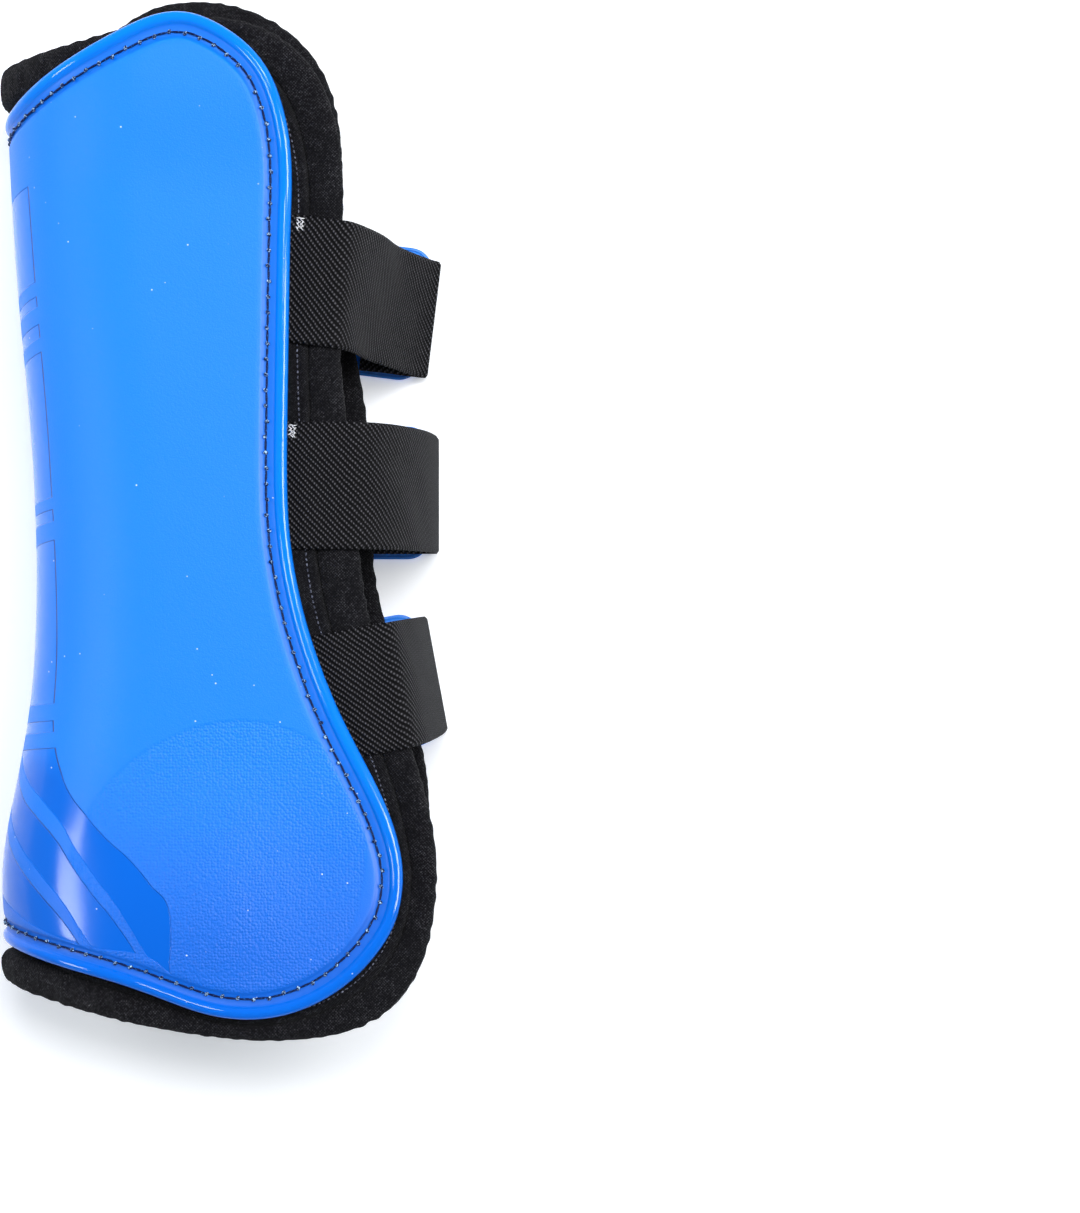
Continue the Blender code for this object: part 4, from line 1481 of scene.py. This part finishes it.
    def build_tab(self, finishes: Finishes) -> None:
        """PU tab with a turned edge, hook tape on it, and loop tape on the far wing."""
        n = self.name.value
        sides = self.rounded(self.tab_p, self.tab_shift, self.tab_width, self.tab_corner, (70, 38))
        low = self.tab_depth + self.tab_wall
        profile = [(0.0, low - 0.9), (0.05, low - 0.55), (0.3, low - 0.2), (0.8, low), (1.6, low), (1.9, low - 0.14),
                   (2.3, low - 0.14), (2.6, low)]
        self.layer(f"{n}_pu_tab", sides, profile, 0.7, f"{n}_tab", "blue_tab", self.closure_body, finishes.tab)
        sides = self.rounded(self.hook_p, self.tab_shift, self.hook_width, 2.0, (60, 34))
        low = self.hook_depths[1]
        profile = [(0.0, low - 0.5), (0.3, low - 0.1), (1.0, low)]
        self.layer(f"{n}_hook_tape", sides, profile, low - self.hook_depths[0] - 0.5, f"{n}_hook_patch", "hook_tape",
                   self.closure_body, finishes.hook)
        span = (self.loop_x[0] - self.fold[0], self.loop_x[1] - self.fold[0])
        sides = self.rounded(span, self.tab_shift, self.loop_width, 2.0, (60, 44))
        low = self.loop_depths[1]
        profile = [(0.0, low - 0.6), (0.4, low - 0.15), (1.4, low)]
        self.layer(f"{n}_loop_tape", sides, profile, low - self.loop_depths[0] - 0.5, f"{n}_loop_patch", "hook_tape",
                   Body.BOOT.value, finishes.loop)

    def build_stitching(self, finishes: Finishes) -> None:
        """Box stitch on the tail and the tack at the band's top corner."""
        n = self.name.value
        loop = loop_of(self.rounded(self.stitch_p, 0.0, self.stitch_width, 0.6, (16, 30)))
        closed = np.vstack([loop, loop[:1]])
        length = float(np.linalg.norm(np.diff(closed, axis=0), axis=1).sum())
        count = int(length / 2.8)
        line = resample(closed, count * 4)
        shape = stitch_shape(2.4, 0.25)
        z = self.fold_z + self.web + 0.12
        places = []
        for k in range(count):
            at, before, after = line[4 * k + 2], line[4 * k + 1], line[4 * k + 3]
            world = self.lay(np.array([at[0], before[0], after[0]]), np.array([at[1], before[1], after[1]]),
                             np.full(3, z))
            places.append(frame_at(world[0], world[2] - world[1], np.array([0, 0, 1.0])))
        obj = lay_copies(f"{n}_box_stitch", shape, places)
        hand_over(obj, finishes.black, self.closure_body, "black_thread", f"{n}_tab_stitching")
        if self.has_tack:
            self.build_tack(finishes)

    def build_tack(self, finishes: Finishes) -> None:
        """White bar tack: a tight, slightly uneven zigzag."""
        n = self.name.value
        rng = random.Random(self.seed + len(n))
        left = self.tack_x - self.fold[0]
        high = self.width / 2 - 1.0
        shape = stitch_shape(1.35, 0.15)
        places = []
        for k in range(self.tack_stitches):
            p = left + (0.6 if k % 2 else 1.5) + rng.uniform(-0.2, 0.2)
            q = high - self.tack_pitch * (k // 2) + rng.uniform(-0.12, 0.12)
            z = self.face_z + 0.12 + 0.15 * rng.random()
            world = self.lay(np.array([p]), np.array([q]), np.array([z]))[0]
            turn = rng.uniform(-0.25, 0.25) + (0.0 if k < 2 else 0.75 if k % 4 < 2 else -0.75)
            flat = self.along * math.cos(turn) + self.across * math.sin(turn)
            ahead = np.array([*flat, rng.uniform(-0.15, 0.15)])
            places.append(frame_at(world, ahead, np.array([0, 0, 1.0])))
        obj = lay_copies(f"{n}_white_tack", shape, places)
        hand_over(obj, finishes.white, Body.BOOT.value, "white_thread", f"{n}_bartack")


# ---------------------------------------------------------------------------------------------- stage


@dataclass
class Studio:
    """Pale floor, soft light and the camera straight above."""

    form: BootForm
    camera_place: tuple[float, float, float] = (78.5, -21.0, 730.0)
    lens: float = 78.78
    floor_size: float = 3.0
    sky_colour: tuple[float, float, float, float] = (0.84, 0.93, 1.0, 1.0)
    lamps: tuple[tuple[str, tuple[float, float, float], float, float, str], ...] = (
        # name, place in metres, side of its square, watts, the rays that it is hidden from
        ("key", (-0.60, 0.46, 0.36), 0.50, 2.8, "visible_glossy"),
        ("wash", (-0.796, -0.215, 0.720), 0.32, 6.4, "visible_diffuse"),
        ("gleam", (0.74, -0.05, 0.78), 0.45, 17.0, "visible_diffuse"),
        ("overhead", (0.12, 0.36, 1.30), 0.30, 7.0, ""),
        ("fill", (0.50, 0.22, 1.05), 0.50, 8.5, "visible_glossy"),
    )
    sky: tuple[tuple[float, float], ...] = ((0.0, 0.62), (0.25, 0.52), (0.5, 0.40), (0.75, 0.34), (0.90, 0.30),
                                            (1.0, 0.30))

    def build(self) -> None:
        """Set the stage."""
        self.build_floor()
        self.build_world()
        for name, place, size, power, hidden_from in self.lamps:
            lamp = self.build_lamp(name, place, size, power)
            if hidden_from:
                setattr(lamp, hidden_from, False)
        data = bpy.data.cameras.new("camera")
        data.lens = self.lens
        data.sensor_width = 36.0
        data.clip_end = 20.0
        camera = bpy.data.objects.new("camera", data)
        place = self.form.place(np.array([self.camera_place]))[0]
        camera.location = tuple(float(c) for c in place)
        bpy.context.scene.collection.objects.link(camera)
        bpy.context.scene.camera = camera

    def build_floor(self) -> None:
        """Lay the floor."""
        deselect_all()
        bpy.ops.mesh.primitive_plane_add(size=self.floor_size, location=(0, 0, -0.0002))
        floor = bpy.context.object
        floor.name = "floor"
        dress(floor, FloorFinish().build())

    def build_world(self) -> None:
        """Faintly blue surroundings: brightest low down, dimmer straight above."""
        scene = bpy.context.scene
        scene.view_settings.view_transform = "Standard"
        world = bpy.data.worlds.new("studio")
        scene.world = world
        world.use_nodes = True
        tree = world.node_tree
        tree.nodes.clear()
        put = tree.nodes.new
        place, parts, ramp = put("ShaderNodeTexCoord"), put("ShaderNodeSeparateXYZ"), put("ShaderNodeFloatCurve")
        sky, out = put("ShaderNodeBackground"), put("ShaderNodeOutputWorld")
        tree.links.new(place.outputs["Generated"], parts.inputs[0])
        tree.links.new(parts.outputs["Z"], ramp.inputs["Value"])
        line = ramp.mapping.curves[0]
        points = self.sky
        while len(line.points) < len(points):
            line.points.new(0.5, 0.5)
        for point, (height, light) in zip(line.points, points):
            point.location = (height, light)
            point.handle_type = "AUTO"
        ramp.mapping.update()
        tree.links.new(ramp.outputs["Value"], sky.inputs["Strength"])
        sky.inputs["Color"].default_value = self.sky_colour
        tree.links.new(sky.outputs[0], out.inputs[0])

    def build_lamp(self, name: str, place: tuple[float, float, float], size: float, power: float
                   ) -> bpy.types.Object:
        """Hang one soft lamp that faces the boot.

        Args:
            name: the lamp's name.
            place: where it hangs, in metres.
            size: of its square face.
            power: in watts.

        Returns:
            The lamp.
        """
        data = bpy.data.lights.new(name, "AREA")
        data.size = size
        data.energy = power
        lamp = bpy.data.objects.new(name, data)
        lamp.location = place
        lamp.rotation_euler = (Vector((0, 0, 0.03)) - Vector(place)).to_track_quat("-Z", "Y").to_euler()
        bpy.context.scene.collection.objects.link(lamp)
        return lamp


def main() -> None:
    """Build the boot piece by piece and set the stage."""
    logging.basicConfig(level=logging.INFO, format="%(message)s")
    form = BootForm()
    finishes = Finishes()
    shell = Shell(form)
    LOG.info("moulded %s", shell.build_panel(finishes.shell).name)
    LOG.info("sewed %s", shell.build_seam(finishes.navy, finishes.knot).name)
    lining = Lining(form)
    LOG.info("cut %s", lining.build_core(finishes.core).name)
    hem = lining.build_hem(finishes.jersey)
    LOG.info("rolled %s", hem.name)
    LOG.info("laid %s", lining.build_back(finishes.jersey).name)
    LOG.info("sewed %s", lining.build_seams(finishes.black).name)
    straps = (
        Strap(form, StrapName.UPPER, tilt=-7.0, sewn_x=19.3, bend_x=28.4, fold=(49.9, 57.3), tab_shift=1.0,
              has_tack=True, belly=(0.34, 0.10, -0.42), crease=(-11.0, 1.4, 0.10)),
        Strap(form, StrapName.MIDDLE, tilt=0.0, sewn_x=17.4, bend_x=30.9, fold=(51.0, 9.4), tab_shift=0.8,
              has_tack=True),
        Strap(form, StrapName.LOWER, tilt=10.5, sewn_x=31.8, bend_x=43.0, fold=(50.6, -39.3), tab_shift=-0.4,
              has_tack=False),
    )
    for strap in straps:
        strap.build_band(finishes.web)
        strap.build_tab(finishes)
        strap.build_stitching(finishes)
        LOG.info("made the %s strap", strap.name.value)
    Studio(form).build()


if __name__ == "__main__":
    main()
